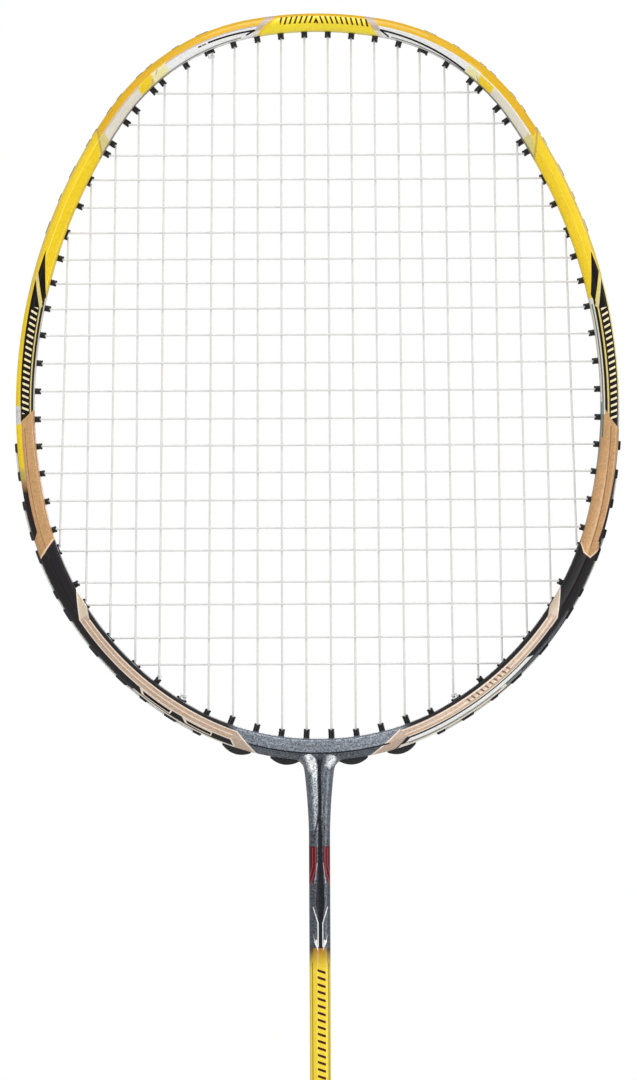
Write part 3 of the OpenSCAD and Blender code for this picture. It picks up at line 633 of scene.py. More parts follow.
# The throat's painted highlights (pale patches on the lobes where light would catch the flake paint) and its
# dark patches down the groove: grey, outline in (x, height above the shaft's end), softness
THROAT_PAINTED_HIGHLIGHTS_AND_DARKS = [
    # Painted highlights: a light strip down the left lobe's inner side, and bright patches at the tops of
    # both lobes
    ((196, 204, 210), [(-2.6, 21), (-0.7, 21), (-0.6, 1), (-1.5, 1)], 1.5),
    ((250, 252, 255), [(-4.7, 27), (-3.3, 28.2), (-0.9, 22.5), (-1.3, 18.5), (-3.4, 20.5)], 1.4),
    ((248, 250, 252), [(2.4, 22.5), (4.4, 27.5), (6.3, 26.6), (5, 23), (3.5, 21.6)], 1.4),
    # Dark patches down the groove and between the tops of the lobes
    (STEEL_DARK, [(-0.4, 22), (0.55, 22), (0.85, -2), (-0.45, -2)], 0.3),
    (STEEL_DARK, [(-1.4, 30), (2.0, 30), (0.6, 20.5), (-0.3, 20.5)], 0.8),
    (STEEL_DARK, [(-0.5, 6), (-0.2, 4), (-1.4, -1.5), (-1.8, -1.5)], 0.4),
    (STEEL_DARK, [(1.5, 2.2), (1.9, 2.2), (1.9, -1.5), (1.5, -1.5)], 0.4),
]


def throat_metallic():
    finish = Finish("throat_metallic", Coat_Roughness=0.08)
    place = finish.place()
    x, _, z = finish.millimetres(place)
    spot = finish.vector(x, finish.math("SUBTRACT", z, THROAT_Z), 1.0)
    colour, metal = linear((110, 116, 124)), 0.75
    # Lays the painted highlights and the dark patches over the base grey
    for paint, outline, soft in THROAT_PAINTED_HIGHLIGHTS_AND_DARKS:
        colour = finish.mix(finish.inside(spot, outline, soft), colour, linear(paint))
    lacquer_shine(finish, colour, metal, place)
    return finish.material


# Paint of the shaft: colour, outline in (x, z) on the face, mirrored for the other side
SHAFT_PAINT = [
    (STEEL, [(0, 410), (9, 410), (9, 357), (0, 357)]),
    (RED_DARK, [(1.1, 391.6), (4.5, 391.6), (4.5, 377.6), (3.2, 378.6), (1.1, 382.6)]),
    (RED, stroke((1.6, 391.6), (1.6, 384), 0.26)),
    (RED, stroke((1.6, 384.2), (3.5, 378), 0.26)),
    (RED, stroke((2.6, 391), (2.6, 384.6), 0.24)),
    (RED, stroke((2.6, 384.8), (3.5, 381.4), 0.24)),
    (STEEL_DARK, [(-0.5, 398), (0.6, 398), (0.85, 386), (-0.5, 386)]),
    (STEEL_DARK, [(-0.5, 386.2), (0.85, 386.2), (1.5, 372), (0.7, 365.7), (-0.5, 365.7)]),
    (STEEL_DARK, [(-0.5, 366), (0.7, 366), (0.7, 357), (-0.5, 357)]),
    (SILVER, stroke((1.0, 386), (1.9, 379), 0.14)),
    (WHITE, stroke((2.5, 371), (0.85, 365.6), 0.28)),
    (WHITE, stroke((0.8, 365.8), (0.8, 357.4), 0.3)),
    (WHITE, [(2.5, 361.6), (1.9, 358.4), (0.8, 356)]),
    (WHITE, [(1.2, 360), (0.8, 356), (2.2, 359.2)]),
    (OLIVE_DARK, stroke((2.75, 352), (2.75, 250), 0.26)),
    (CHARCOAL, [(0, 246), (9, 252), (9, 120), (0, 120)]),
    (CREAM, stroke((-0.6, 246.2), (9, 253), 0.5)),
    (TAN, [(0, 239), (9, 245.4), (9, 241), (0, 234.6)]),
    (CREAM, stroke((-0.6, 234.4), (9, 240.8), 0.5)),
]
SHAFT_YELLOW_Z, SHAFT_BARS_Z = 357.2, (262, 350)


def shaft_lacquer():
    finish = Finish("shaft_lacquer", Coat_Roughness=0.08)
    place = finish.place()
    x, _, z = finish.millimetres(place)
    spot = finish.vector(finish.math("ABSOLUTE", finish.math("SUBTRACT", x, 0.2)), z, 1.0)
    warm = finish.ramp(z, SHAFT_YELLOW_Z - 8, SHAFT_YELLOW_Z - 1)
    # Painted shade: in the bronze band the shaft's sides, away from the middle of the face, are painted
    # darker
    edge = finish.ramp(finish.math("ABSOLUTE", x), 1.9, 2.6)
    shade = finish.mix(edge, linear(BRONZE), linear((88, 78, 58)))
    colour = finish.mix(warm, linear((255, 224, 56)), shade)
    metal = 0.05
    for paint, outline in SHAFT_PAINT:
        colour, metal = finish.painted(colour, metal, finish.inside(spot, outline), paint)
    bars = finish.bars(finish.math("MULTIPLY_ADD", x, 0.35, z), 2.4, 0.36)
    low, high = SHAFT_BARS_Z
    field = finish.inside(finish.vector(x, z, 1.0), [(-0.9, low), (1.9, low), (1.9, high), (-0.9, high)])
    colour = finish.mix(finish.math("MULTIPLY", field, bars), colour, linear(MAROON))
    lacquer_shine(finish, colour, metal, place)
    return finish.material


def string_finish():
    finish = Finish("string", Coat_Weight=0.3, Coat_Roughness=0.2, IOR=1.5, Specular_IOR_Level=0.5)
    place = finish.place()
    s = finish.value("s")
    plies = finish.math("SINE", finish.math("MULTIPLY", s, 9.0))
    mottle = finish.noise(place, 1500, 3)
    return finish.done(
        finish.between(mottle, (222, 221, 219), (244, 244, 243)),
        finish.ramp(mottle, 0.3, 0.7, 0.3, 0.45),
        finish.bump(finish.math("MULTIPLY_ADD", plies, 0.5, mottle), 0.03, 0.6))


def moulded(name, dark, light, grain, rough=(0.3, 0.5), depth=0.03):
    """Moulded plastic: a fine sandy grain, cloudy gloss and faint flow marks."""
    finish = Finish(name, IOR=1.5, Specular_IOR_Level=0.45)
    place = finish.place()
    sand = finish.noise(place, grain, 3)
    flow = finish.noise(finish.stretch(place, (1, 1, 0.25)), 220, 3)
    return finish.done(
        finish.between(flow, dark, light),
        finish.ramp(flow, 0.3, 0.7, *rough),
        finish.bump(sand, depth, 0.5))


def grip_finish():
    """Soft band: a leathery grain, rows of small embossed dimples, and a dull worn sheen."""
    finish = Finish("grip_tape", Sheen_Weight=0.12, Sheen_Roughness=0.4, Specular_IOR_Level=0.35)
    place = finish.place()
    s, u = finish.value("s"), finish.value("u")
    rows = finish.math("MULTIPLY", finish.math("SINE", finish.math("MULTIPLY", s, 2.6)),
                       finish.math("SINE", finish.math("MULTIPLY", u, 2.6)))
    dimple = finish.ramp(rows, 0.55, 0.95, 0.0, 1.0)
    wind = finish.value("wind")
    seam = finish.math("MAXIMUM", finish.ramp(wind, 0.01, 0.06, 1, 0), finish.ramp(wind, 0.97, 1.0))
    worn_edge_highlight = finish.math("MULTIPLY", finish.ramp(wind, 0.06, 0.09), finish.ramp(wind, 0.09, 0.17, 1, 0))
    grain = finish.noise(place, 1400, 4, 0.6)
    wear = finish.ramp(finish.noise(place, 35, 3), 0.42, 0.62)
    colour = finish.between(wear, (28, 28, 30), (46, 46, 48))
    # The raised edge just past the step is lighter: partly rubbed wear, partly a painted highlight
    colour = finish.mix(finish.math("MULTIPLY", worn_edge_highlight, 0.5), colour, linear((74, 73, 72)))
    # Painted shade: a dark line where one turn of the band steps over the one below
    colour = finish.mix(finish.math("MULTIPLY", seam, 0.85), colour, linear((7, 7, 8)))
    # Painted shade: the hollows of the dimples are darkened
    finish.feed("Base Color", finish.mix(finish.math("MULTIPLY", dimple, 0.6), colour, linear((12, 12, 13))))
    finish.feed("Roughness", finish.ramp(finish.math("MULTIPLY_ADD", wear, -0.3, grain), 0.0, 0.8, 0.5, 0.78))
    dents = finish.bump(finish.math("SUBTRACT", 1.0, dimple), 0.18, 0.8)
    finish.feed("Normal", finish.bump(grain, 0.05, 0.6, dents))
    return finish.material


TAPE_BAND_Z = (177.2, 180.8)     # the orange band on the finishing tape


def collar_finish():
    finish = Finish("collar_tape", Coat_Weight=0.25, Coat_Roughness=0.2)
    place = finish.place()
    z = finish.millimetres(place)[2]
    pull = finish.noise(finish.stretch(place, (1, 1, 6)), 160, 3)
    low, high = TAPE_BAND_Z
    band = finish.inside(finish.vector(0.0, z, 1.0), [(-1, low), (1, low), (1, high), (-1, high)])
    colour = finish.between(pull, (22, 22, 23), (38, 38, 40))
    return finish.done(
        finish.mix(band, colour, linear(ORANGE)),
        finish.ramp(pull, 0.3, 0.7, 0.28, 0.46),
        finish.bump(pull, 0.08, 0.5))


def wood_finish():
    finish = Finish("handle_wood", Specular_IOR_Level=0.3)
    place = finish.place()
    grain = finish.noise(finish.stretch(place, (1, 1, 0.06)), 900, 5, 0.65)
    rings = finish.node("ShaderNodeTexWave", {"Vector": finish.stretch(place, (1, 1, 0.05)), "Scale": 120.0,
                                              "Distortion": 3.0, "Detail": 3.0}).outputs["Fac"]
    tone = finish.math("MULTIPLY_ADD", rings, 0.4, finish.math("MULTIPLY", grain, 0.6))
    return finish.done(
        finish.between(tone, (196, 152, 100), (226, 190, 142)),
        finish.ramp(grain, 0.3, 0.7, 0.55, 0.75),
        finish.bump(grain, 0.06, 0.6))


def laminate_finish():
    """Carbon laminate: a twill of dark tows under resin."""
    finish = Finish("core_laminate", Coat_Weight=0.4, Coat_Roughness=0.15)
    place = finish.place()
    x, y, z = finish.millimetres(place)
    twill = finish.math("MULTIPLY", finish.math("SINE", finish.math("MULTIPLY_ADD", x, 3.0, z)),
                        finish.math("SINE", finish.math("MULTIPLY_ADD", z, 3.0, y)))
    fibre = finish.noise(finish.stretch(place, (1, 1, 0.1)), 2500, 2)
    return finish.done(
        finish.between(fibre, (22, 22, 24), (52, 53, 56)),
        finish.ramp(twill, -1, 1, 0.25, 0.5),
        finish.bump(twill, 0.06, 0.5))


def steel_finish():
    finish = Finish("staple_steel", Metallic=1.0)
    place = finish.place()
    drawn = finish.noise(finish.stretch(place, (0.1, 1, 1)), 3000, 3)
    return finish.done(
        finish.between(drawn, (150, 150, 152), (196, 196, 198)),
        finish.ramp(drawn, 0.3, 0.7, 0.25, 0.45),
        finish.bump(drawn, 0.02, 0.4))


def badge_finish():
    """Gold disc with a dark ring, and fine turned lines."""
    finish = Finish("badge", Coat_Weight=0.8, Coat_Roughness=0.05)
    place = finish.place()
    x, y, _ = finish.millimetres(place)
    square = finish.math("ADD", finish.math("MULTIPLY", x, x), finish.math("MULTIPLY", y, y))
    reach = finish.math("SQRT", square)
    turned = finish.math("SINE", finish.math("MULTIPLY", reach, 22.0))
    ring = finish.math("LESS_THAN", finish.math("ABSOLUTE", finish.math("SUBTRACT", reach, 6.6)), 0.5)
    mottle = finish.noise(place, 800, 3)
    colour = finish.between(mottle, (226, 170, 40), (250, 204, 60))
    finish.feed("Base Color", finish.mix(ring, colour, linear(CHARCOAL)))
    finish.feed("Roughness", finish.ramp(mottle, 0.3, 0.7, 0.25, 0.4))
    finish.feed("Metallic", finish.math("MULTIPLY_ADD", ring, -0.6, 0.7))
    finish.feed("Normal", finish.bump(turned, 0.02, 0.5))
    return finish.material


# ---- Head frame ----
# The tube's width in the plane of the strings, as (turn, width): it grows towards the throat
WIDTHS = [(50, 6.0), (60, 6.3), (92, 6.3), (100, 6.75), (145, 6.75), (152, 6.7), (168, 7.3), (180, 7.6)]


def frame_width(turn):
    return float(np.interp(turn, *zip(*WIDTHS)))


FACE_V = 3.0            # the front face starts this far from the middle of the tube


def tube_profile(width):
    """The closed section as (u, v, paint u); u is measured from the outer edge."""
    front = rounded([
        (-GROOVE_DEPTH, 0, 0), (-GROOVE_DEPTH, -GROOVE_HALF_W, 0.25), (0, -GROOVE_HALF_W - 0.4, 0.3),
        (0, -3.15, 0.45), (-0.95, -4.3, 0.45), (-2.9, -TUBE_D / 2, 0.4),
        (0.6 - width, -3.95, 0.6), (-width, -2.7, 0.9), (-width - 0.02, 0, 0)])
    half = [(u, v, u if -v > FACE_V or u < 0.7 - width else 0.3) for u, v in front]
    return half + [(u, -v, paint) for u, v, paint in half[-2:0:-1]]


def head_frame():
    step = 0.8
    stations = []
    for _, r, first, last in ARCS:
        count = math.ceil((r + HALF_W) * math.radians(last - first) / step)
        stations += [(t, RIGHT) for t in np.linspace(first, last, count, endpoint=False)]
    loop = stations + [(180, RIGHT)] + [(t, LEFT) for t, _ in stations[:0:-1]]
    shape, rings, s, u = Shape(), [], [], []
    for turn, side in loop:
        edge, out = hoop_point(turn, HALF_W), direction(turn)
        profile = tube_profile(frame_width(turn))
        rings.append([(side * (edge + p[0] * out)[0], p[1], (edge + p[0] * out)[1]) for p in profile])
        s += [outer_length(turn)] * len(profile)
        u += [p[2] for p in profile]
    shape.loft(rings, close=True, s=s, u=u)
    shape.make("painted_head_frame", frame_lacquer(), "frame_lacquer", ["head_frame"], sharp=60)


# ---- Throat and shaft ----
# Heights above the shaft's end: z, half width, half depth, squareness, groove depth
THROAT_RINGS = [
    (0, 3.62, 3.62, 2.0, 0.0), (3, 3.7, 3.72, 2.0, 0.3), (7, 3.9, 3.95, 2.05, 0.7), (11, 4.15, 4.2, 2.1, 1.0),
    (14, 4.4, 4.42, 2.15, 1.2), (17.5, 4.72, 4.7, 2.2, 1.4), (20.8, 5.1, 4.95, 2.3, 1.6),
    (21.8, 5.35, 5.03, 2.3, 1.7), (22.6, 5.8, 5.08, 2.35, 1.8), (23.3, 6.5, 5.12, 2.4, 1.9),
    (23.8, 7.3, 5.15, 2.4, 1.9), (24.3, 8.4, 5.16, 2.4, 1.9), (25.0, 9.3, 5.17, 2.4, 1.9),
    (26.0, 9.0, 5.15, 2.4, 1.8), (27.2, 8.0, 5.0, 2.3, 1.6), (28.4, 6.5, 4.5, 2.2, 1.0),
    (29.2, 5.0, 3.5, 2, 0.2),
]


def throat_rings(sides=96):
    heights = np.array([ring[0] for ring in THROAT_RINGS])
    for h in np.unique(np.concatenate([np.arange(0, 22, 1.0), np.arange(22, 29.3, 0.35), [heights[-1]]])):
        wide, deep, power, groove = (
            float(np.interp(h, heights, [ring[k] for ring in THROAT_RINGS])) for k in (1, 2, 3, 4))
        ring = []
        for a in circle_angles(sides):
            c, s = math.cos(a), math.sin(a)
            x = wide * math.copysign(abs(c) ** (2 / power), c)
            y = deep * math.copysign(abs(s) ** (2 / power), s)
            spread = 0.95 + 0.09 * max(0.0, h - 17)
            y -= math.copysign(groove * math.exp(-(x / spread) ** 2), y) if abs(y) > 1 else 0
            ring.append((x, y, THROAT_Z + h))
        yield ring


def throat():
    shape = Shape()
    shape.loft(list(throat_rings()))
    shape.make("flared_throat", throat_metallic(), "throat_metallic", ["throat_joint"], sharp=75)


def shaft():
    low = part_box("shaft")[0].z / MM
    shape = Shape()
    lathe(shape, [(SHAFT_R, z) for z in np.linspace(low, THROAT_Z + 0.2, 120)], 64)
    shape.make("painted_shaft", shaft_lacquer(), "shaft_lacquer", ["shaft"])


# ---- Strings ----
STRING_LIFT = 0.36
WEAVE = 0.35            # half of the distance between two strings' middles where they cross
BEND_CUT = 0.45
KNOT_REACH = 1.2
RUN_STEP = 1.5          # degrees between the points of a run in the groove


def unit(v):
    return v / np.linalg.norm(v)


def knot_end(hole):
    """Where the string's end stops, past its knot."""
    return hole_point(hole, -shown_reach(hole) - KNOT_REACH)


def mirrored(points):
    return [np.array([-p[0], p[1]]) for p in points]


def way_in(hole, before):
    """Points from the groove to the hole's inner mouth, with the sharp bend cut off."""
    outer, inner = hole_point(hole, string_out(hole[0])), mouth_point(hole)
    heel = hole_point((hole[0], 0, hole[2]), -HALF_W)
    cut_in, cut_out = BEND_CUT * unit(heel - outer), BEND_CUT * unit(before - outer)
    return [outer + cut_out, outer + 0.15 * (cut_in + cut_out), outer + cut_in, heel, inner]


def loop_between(a, b):
    """One loop outside the tube: out of hole a, along the groove, and into hole b."""
    steps = max(1, math.ceil(abs(b[0] - a[0]) / RUN_STEP))
    turns = [a[0] + (b[0] - a[0]) * k / steps for k in range(1, steps)]
    run = [hoop_point(t, string_out(t)) for t in turns]
    ends = [hole_point(h, string_out(h[0])) for h in (a, b)]
    first, last = (run[0], run[-1]) if run else (ends[1], ends[0])
    return way_in(a, first)[::-1] + run + way_in(b, last)


def crossings(start, end, others):
    """Shares of the way from start to end at which the other strings' lines are crossed."""
    found = []
    for k, (a, b) in others:
        d, e = end - start, b - a
        t, w = np.linalg.solve(np.array([d, -e]).T, a - start)
        if 0 < t < 1 and 0 < w < 1:
            found.append((t, k))
    return sorted(found)


def woven_run(start, end, others, index, lift):
    """Points (x, y, z) between two mouths, over and under the strings of the other set."""
    knots = [(0.0, lift)] + [(t, WEAVE * (1 if (index + k) % 2 == 0 else -1) * math.copysign(1, lift))
                             for t, k in crossings(start, end, others)] + [(1.0, lift)]
    points = []
    for (t0, y0), (t1, y1) in zip(knots, knots[1:]):
        for w in np.linspace(0, 1, 5)[:-1]:
            p = start + (end - start) * (t0 + (t1 - t0) * w)
            points.append((p[0], y0 + (y1 - y0) * (1 - math.cos(math.pi * w)) / 2, p[1]))
    return points[1:]


def lifted(points, y):
    return [(p[0], y, p[1]) for p in points]


def main_lines():
    """Every main string from its top mouth to its bottom mouth, numbered from the left."""
    lines = {}
    for i in range(MAINS):
        ends = [mouth_point(top_hole(i)), mouth_point(bottom_hole(i))]
        lines[MAINS + i], lines[MAINS - 1 - i] = ends, mirrored(ends)
    return lines


def cross_lines():
    return {j: mirrored([mouth_point(cross_hole(j))]) + [mouth_point(cross_hole(j))] for j in range(CROSSES)}


def main_path():
    """The whole main string: from the left knot, through the top middle, to the right knot."""
    lines, crosses = main_lines(), list(cross_lines().items())
    tie = other_way(bottom_hole(TIE_OFF_BOTTOM))

    def half(side):
        """From the top middle out to the knot on one side."""
        path = []
        for i in range(MAINS):
            index = MAINS + i if side == RIGHT else MAINS - 1 - i
            down = i % 2 == 0
            start, end = lines[index] if down else lines[index][::-1]
            path += woven_run(start, end, crosses, index, STRING_LIFT)
            hole = bottom_hole if down else top_hole
            loop = loop_between(hole(i), hole(i + 1) if i < MAINS - 1 else tie)
            path += lifted(loop if side == RIGHT else mirrored(loop), STRING_LIFT)
        end = [knot_end(tie)]
        return path + lifted(end if side == RIGHT else mirrored(end), STRING_LIFT)

    start = way_in(top_hole(0), hole_point(top_hole(0), string_out(0)) * [-1, 1])
    return half(LEFT)[::-1] + lifted(mirrored(start)[::-1] + start, STRING_LIFT) + half(RIGHT)


def cross_path():
    lines, mains = cross_lines(), list(main_lines().items())
    start = other_way(top_hole(TIE_OFF_TOP))
    path = lifted(mirrored([knot_end(start)]), -STRING_LIFT)
    path += lifted(mirrored(loop_between(start, cross_hole(0))), -STRING_LIFT)
    for j in range(CROSSES):
        left, right = lines[j]
        from_left = j % 2 == 0
        a, b = (left, right) if from_left else (right, left)
        path += woven_run(a, b, mains, j, -STRING_LIFT)
        after = cross_hole(j + 1) if j < CROSSES - 1 else bottom_hole(CROSS_TIE_OFF_BOTTOM)
        loop = loop_between(cross_hole(j), after)
        path += lifted(loop if from_left else mirrored(loop), -STRING_LIFT)
    hole = bottom_hole(CROSS_TIE_OFF_BOTTOM)
    return path + lifted(mirrored([knot_end(hole)]), -STRING_LIFT)


def ring_round(p, r, across, up, sides):
    return [p + r * (math.cos(a) * across + math.sin(a) * up) for a in circle_angles(sides)]


def tube_along(shape, path, r, sides=10):
    """A round tube along points that never run along Y for long."""
    path = np.array(path, float)
    keep = np.concatenate([[True], np.linalg.norm(np.diff(path, axis=0), axis=1) > 1e-4])
    path = path[keep]
    steps = np.diff(path, axis=0)
    lengths = np.linalg.norm(steps, axis=1)
    steps /= lengths[:, None]
    along = np.vstack([steps[:1], steps[:-1] + steps[1:], steps[-1:]])
    along /= np.linalg.norm(along, axis=1)[:, None]
    run = np.concatenate([[0], np.cumsum(lengths)])
    rings = []
    for p, t in zip(path, along):
        across = np.cross(t, (0, 1, 0))
        across /= np.linalg.norm(across)
        up = np.cross(across, t)
        rings.append(ring_round(p, r, across, up, sides))
    shape.loft(rings, s=[v for v in run for _ in range(sides)])
    return float(run[-1])


def strings():
    finish = string_finish()
    for name, path in (("main_string", main_path()), ("cross_string", cross_path())):
        shape = Shape()
        length = tube_along(shape, path, STRING_D / 2)
        shape.make("woven_" + name, finish, "string", [name], sharp=180)
        print(f"{name}: {length:.0f} mm")
    knots = Shape()
    for hole, other, side, lift in (
            (bottom_hole(TIE_OFF_BOTTOM), top_hole(TIE_OFF_BOTTOM), LEFT, STRING_LIFT),
            (bottom_hole(TIE_OFF_BOTTOM), top_hole(TIE_OFF_BOTTOM), RIGHT, STRING_LIFT),
            (bottom_hole(CROSS_TIE_OFF_BOTTOM), top_hole(CROSS_TIE_OFF_BOTTOM), LEFT, STRING_LIFT),
            (top_hole(TIE_OFF_TOP), bottom_hole(TIE_OFF_TOP), LEFT, STRING_LIFT)):
        start = mouth_point(hole) * [side, 1]
        knot(knots, start, unit(mouth_point(other) * [side, 1] - start), lift)
    knots.make("tied_knots", finish, "string", ["string_knots"], sharp=180)


def knot(shape, start, along, lift):
    """Two turns of string round a string's end, just past its grommet."""
    coil_r, turns, climb = 0.46, 2, STRING_D * 0.64
    across = np.array([along[1], -along[0]])
    path = []
    for t in np.linspace(0, turns, int(turns * 16) + 1):
        a = 2 * math.pi * t
        spot = start + along * (0.45 + climb * t) + across * coil_r * math.cos(a)
        path.append((spot[0], lift + coil_r * math.sin(a), spot[1]))
    turned_tube(shape, path, STRING_D / 2 * 0.8)


def turned_tube(shape, path, r, sides=8):
    """A tube along any path: each ring is carried on from the last with the least twist."""
    path = np.array(path, float)
    along = np.gradient(path, axis=0)
    along /= np.linalg.norm(along, axis=1)[:, None]
    side = np.cross(along[0], (0.3, 0.9, 0.2))
    rings = []
    for p, t in zip(path, along):
        side = unit(side - t * (side @ t))
        up = np.cross(t, side)
        rings.append(ring_round(p, r, side, up, sides))
    shape.loft(rings, s=[0.7 * k for k in range(len(rings)) for _ in range(sides)])


# ---- Grommets ----
SLIVER = 0.28           # how far an upper flange shows beyond the tube
SLIVER_STRETCH = (34, 130)      # where it does, along the outer edge from the top centre
NOTCH, NOTCH_HALF_W, NOTCHED_RINGS = 0.5, 0.36, 6       # the cut in a barrel's mouth
CENTRE_EXTRA = 0.8      # how much longer the two middle barrels are


def at_hole(hole, side):
    """Turns local (along the tube, through the racket, outwards) into a point of the racket."""
    origin, out, along = hoop_point(hole[0]), direction(hole[0]), tangent(hole[0])

    def place(p):
        q = origin + p[0] * along + p[2] * out
        return (side * q[0], p[1], q[1])
    return place


def barrel(shape, place, reach, top, shift):
    """Ribbed barrel with a notched mouth and a clear way through; shift makes it oblong."""
    r, bore = BARREL_D / 2, BORE_D / 2
    profile = [(bore, -reach + 0.3), (bore + 0.1, -reach + 0.05)]
    profile += [(r - 0.2, -reach), (r - 0.04, -reach + 0.12)]
    h = -reach + 0.3
    while h < -HALF_W + 0.6:
        profile += [(r, h), (r, h + 0.22), (r - 0.13, h + 0.28), (r - 0.13, h + 0.42)]
        h += 0.5
    profile += [(r, h), (r, top), (bore, top)]
    rings = []
    for k, (radius, height) in enumerate(profile):
        ring = []
        for a in circle_angles(28) + math.pi / 28:
            x = radius * math.cos(a)
            notched = k < NOTCHED_RINGS and abs(x) < NOTCH_HALF_W
            cut = NOTCH * (1 - k / (2 * NOTCHED_RINGS)) if notched else 0
            ring.append(place((x + math.copysign(shift, x), radius * math.sin(a), height + cut)))
        rings.append(ring)
    shape.loft(rings, close=True)


def channel_section(top, base, half_w=GROOVE_HALF_W):
    """U-shaped section of a flange: (through the racket, outwards)."""
    lip, floor, c = 0.22, top - CHANNEL_DEPTH, CHANNEL_W / 2
    return [(-half_w, base), (-half_w, top - lip), (-half_w + lip, top), (-c - 0.1, top), (-c, top - 0.12),
            (-c + 0.1, floor + 0.12), (-c + 0.3, floor), (c - 0.3, floor), (c - 0.1, floor + 0.12),
            (c, top - 0.12), (c + 0.1, top), (half_w - lip, top), (half_w, top - lip), (half_w, base)]


def flange(shape, place, top, length):
    """Flange over the barrel, with rounded ends and a channel for the string."""
    base, rings = GROOVE_FLOOR, []
    ends = [(0.0, 0.82), (0.12, 0.93), (0.3, 1.0)]
    spots = [(-length / 2 + d, k) for d, k in ends] + [(length / 2 - d, k) for d, k in reversed(ends)]
    for x, size in spots:
        rings.append([place((x, y * (0.85 + 0.15 * size), base + (h - base) * size))
                      for y, h in channel_section(top, base)])
    shape.loft(rings)


def grommet_group(name, holes, sides, material):
    shape = Shape()
    for side in sides:
        for hole in holes:
            place, shift = at_hole(hole, side), WIDE_SHIFT if hole[2] else 0
            barrel(shape, place, shown_reach(hole), GROOVE_FLOOR + 0.3, shift)
            top = flange_top(hole[0])
            proud = SLIVER_STRETCH[0] < outer_length(hole[0]) < SLIVER_STRETCH[1]
            sliver = SLIVER if top == HALF_W and proud else 0
            flange(shape, place, top + sliver, FLANGE_LEN + 2 * shift)
    shape.make("ribbed_" + name, material, "grommet_nylon", [name], sharp=35)


def saddle(shape, i, side):
    """Curved pad over two barrels, which the string turns back on."""
    holes = [bottom_hole(i), bottom_hole(i + 1)]
    middle = (hole_point(holes[0], HALF_W) + hole_point(holes[1], HALF_W)) / 2
    centre = turn_at_x(middle[0], HALF_W, False)
    r = ARCS[-1][1] + HALF_W
    rings = []
    for x in np.concatenate([[-SADDLE_LEN / 2, -SADDLE_LEN / 2 + 0.15],
                             np.linspace(-SADDLE_LEN / 2 + 0.5, SADDLE_LEN / 2 - 0.5, 15),
                             [SADDLE_LEN / 2 - 0.15, SADDLE_LEN / 2]]):
        turn = centre + math.degrees(x / r)
        share = 2 * x / SADDLE_LEN
        top = HALF_W + SADDLE_RIM + (SADDLE_OUT - SADDLE_RIM) * (1 - share ** 2)
        if abs(share) > 0.99:
            top -= 0.15
        rings.append([])
        for y, h in channel_section(top, GROOVE_FLOOR + 0.02):
            # The channel's floor stays at the string, while the walls rise with the pad
            inner = abs(y) < CHANNEL_W / 2 - 0.05
            h = min(h, HALF_W + FLANGE_OUT - CHANNEL_DEPTH) if inner else h
            p = hoop_point(turn, h)
            rings[-1].append((side * p[0], y, p[1]))
    shape.loft(rings)
    for hole in holes:
        reach = LONG_MOUTH + (CENTRE_EXTRA if hole[1] else 0)
        barrel(shape, at_hole((hole[0], 0, 0), side), reach, GROOVE_FLOOR + 0.5, 0)


def grommets():
    nylon = moulded("grommet_nylon", (18, 18, 19), (34, 34, 36), 1600, (0.3, 0.48))
    shoulder = [top_hole(i) for i in range(5, 9)] + [cross_hole(j) for j in range(3)]
    sides = [cross_hole(4)] + [cross_hole(j) for j in range(6, 17)]
    lower = [cross_hole(18), bottom_hole(4), bottom_hole(CROSS_TIE_OFF_BOTTOM)]
    grommet_group("grommets_top", [top_hole(i) for i in range(TIE_OFF_TOP)], SIDES, nylon)
    for word, side in (("left", LEFT), ("right", RIGHT)):
        grommet_group("grommets_shoulder_" + word, shoulder, [side], nylon)
        grommet_group("grommets_side_" + word, sides, [side], nylon)
        grommet_group("grommets_lower_" + word, lower, [side], nylon)
    grommet_group("shared_grommets_upper", [top_hole(i) for i, _ in SHARED_UPPER], SIDES, nylon)
    grommet_group("shared_grommets_lower", [bottom_hole(i) for i, _ in SHARED_LOWER], SIDES, nylon)
    grommet_group("tie_off_grommets", [top_hole(TIE_OFF_TOP), bottom_hole(TIE_OFF_BOTTOM)], SIDES, nylon)
    pads = Shape()
    for side in SIDES:
        for i in range(0, SADDLED, 2):
            saddle(pads, i, side)
    pads.make("curved_saddle_grommets", nylon, "grommet_nylon", ["saddle_grommets"], sharp=35)


# ---- Handle ----
def octagon_loop(width, depth, radius, count):
    """Evenly spaced points round a rounded octagon, each with its distance along the outline."""
    cut = 0.29 * depth
    w, d = width / 2, depth / 2
    corners = [(w, -d + cut), (w, d - cut), (w - cut, d), (-w + cut, d),
               (-w, d - cut), (-w, -d + cut), (-w + cut, -d), (w - cut, -d)]
    ring = []
    for k, corner in enumerate(corners):
        ends = []
        for other in (corners[k - 1], corners[(k + 1) % 8]):
            run = np.subtract(other, corner)
            ends.append(np.array(corner) + unit(run) * radius)
        for t in np.linspace(0, 1, 5):
            ring.append((1 - t) ** 2 * ends[0] + 2 * t * (1 - t) * np.array(corner) + t * t * ends[1])
    ring = np.array(ring + [ring[0]])
    run = np.concatenate([[0], np.cumsum(np.linalg.norm(np.diff(ring, axis=0), axis=1))])
    spots = np.linspace(0, run[-1], count, endpoint=False)
    return [(np.interp(v, run, ring[:, 0]), np.interp(v, run, ring[:, 1]), v) for v in spots]


def outwards(loop, k):
    before, after = loop[k - 1], loop[(k + 1) % len(loop)]
    return unit(np.array([after[1] - before[1], before[0] - after[0]]))


GRIP_W, GRIP_D, GRIP_FLARE, FLARE_TOP = 28.0, 25.0, 3.0, 16.0
BAND_PITCH = 23.0       # how far the grip band climbs in one turn
BAND_STEP = 0.55        # how high one turn of the band stands over the one below


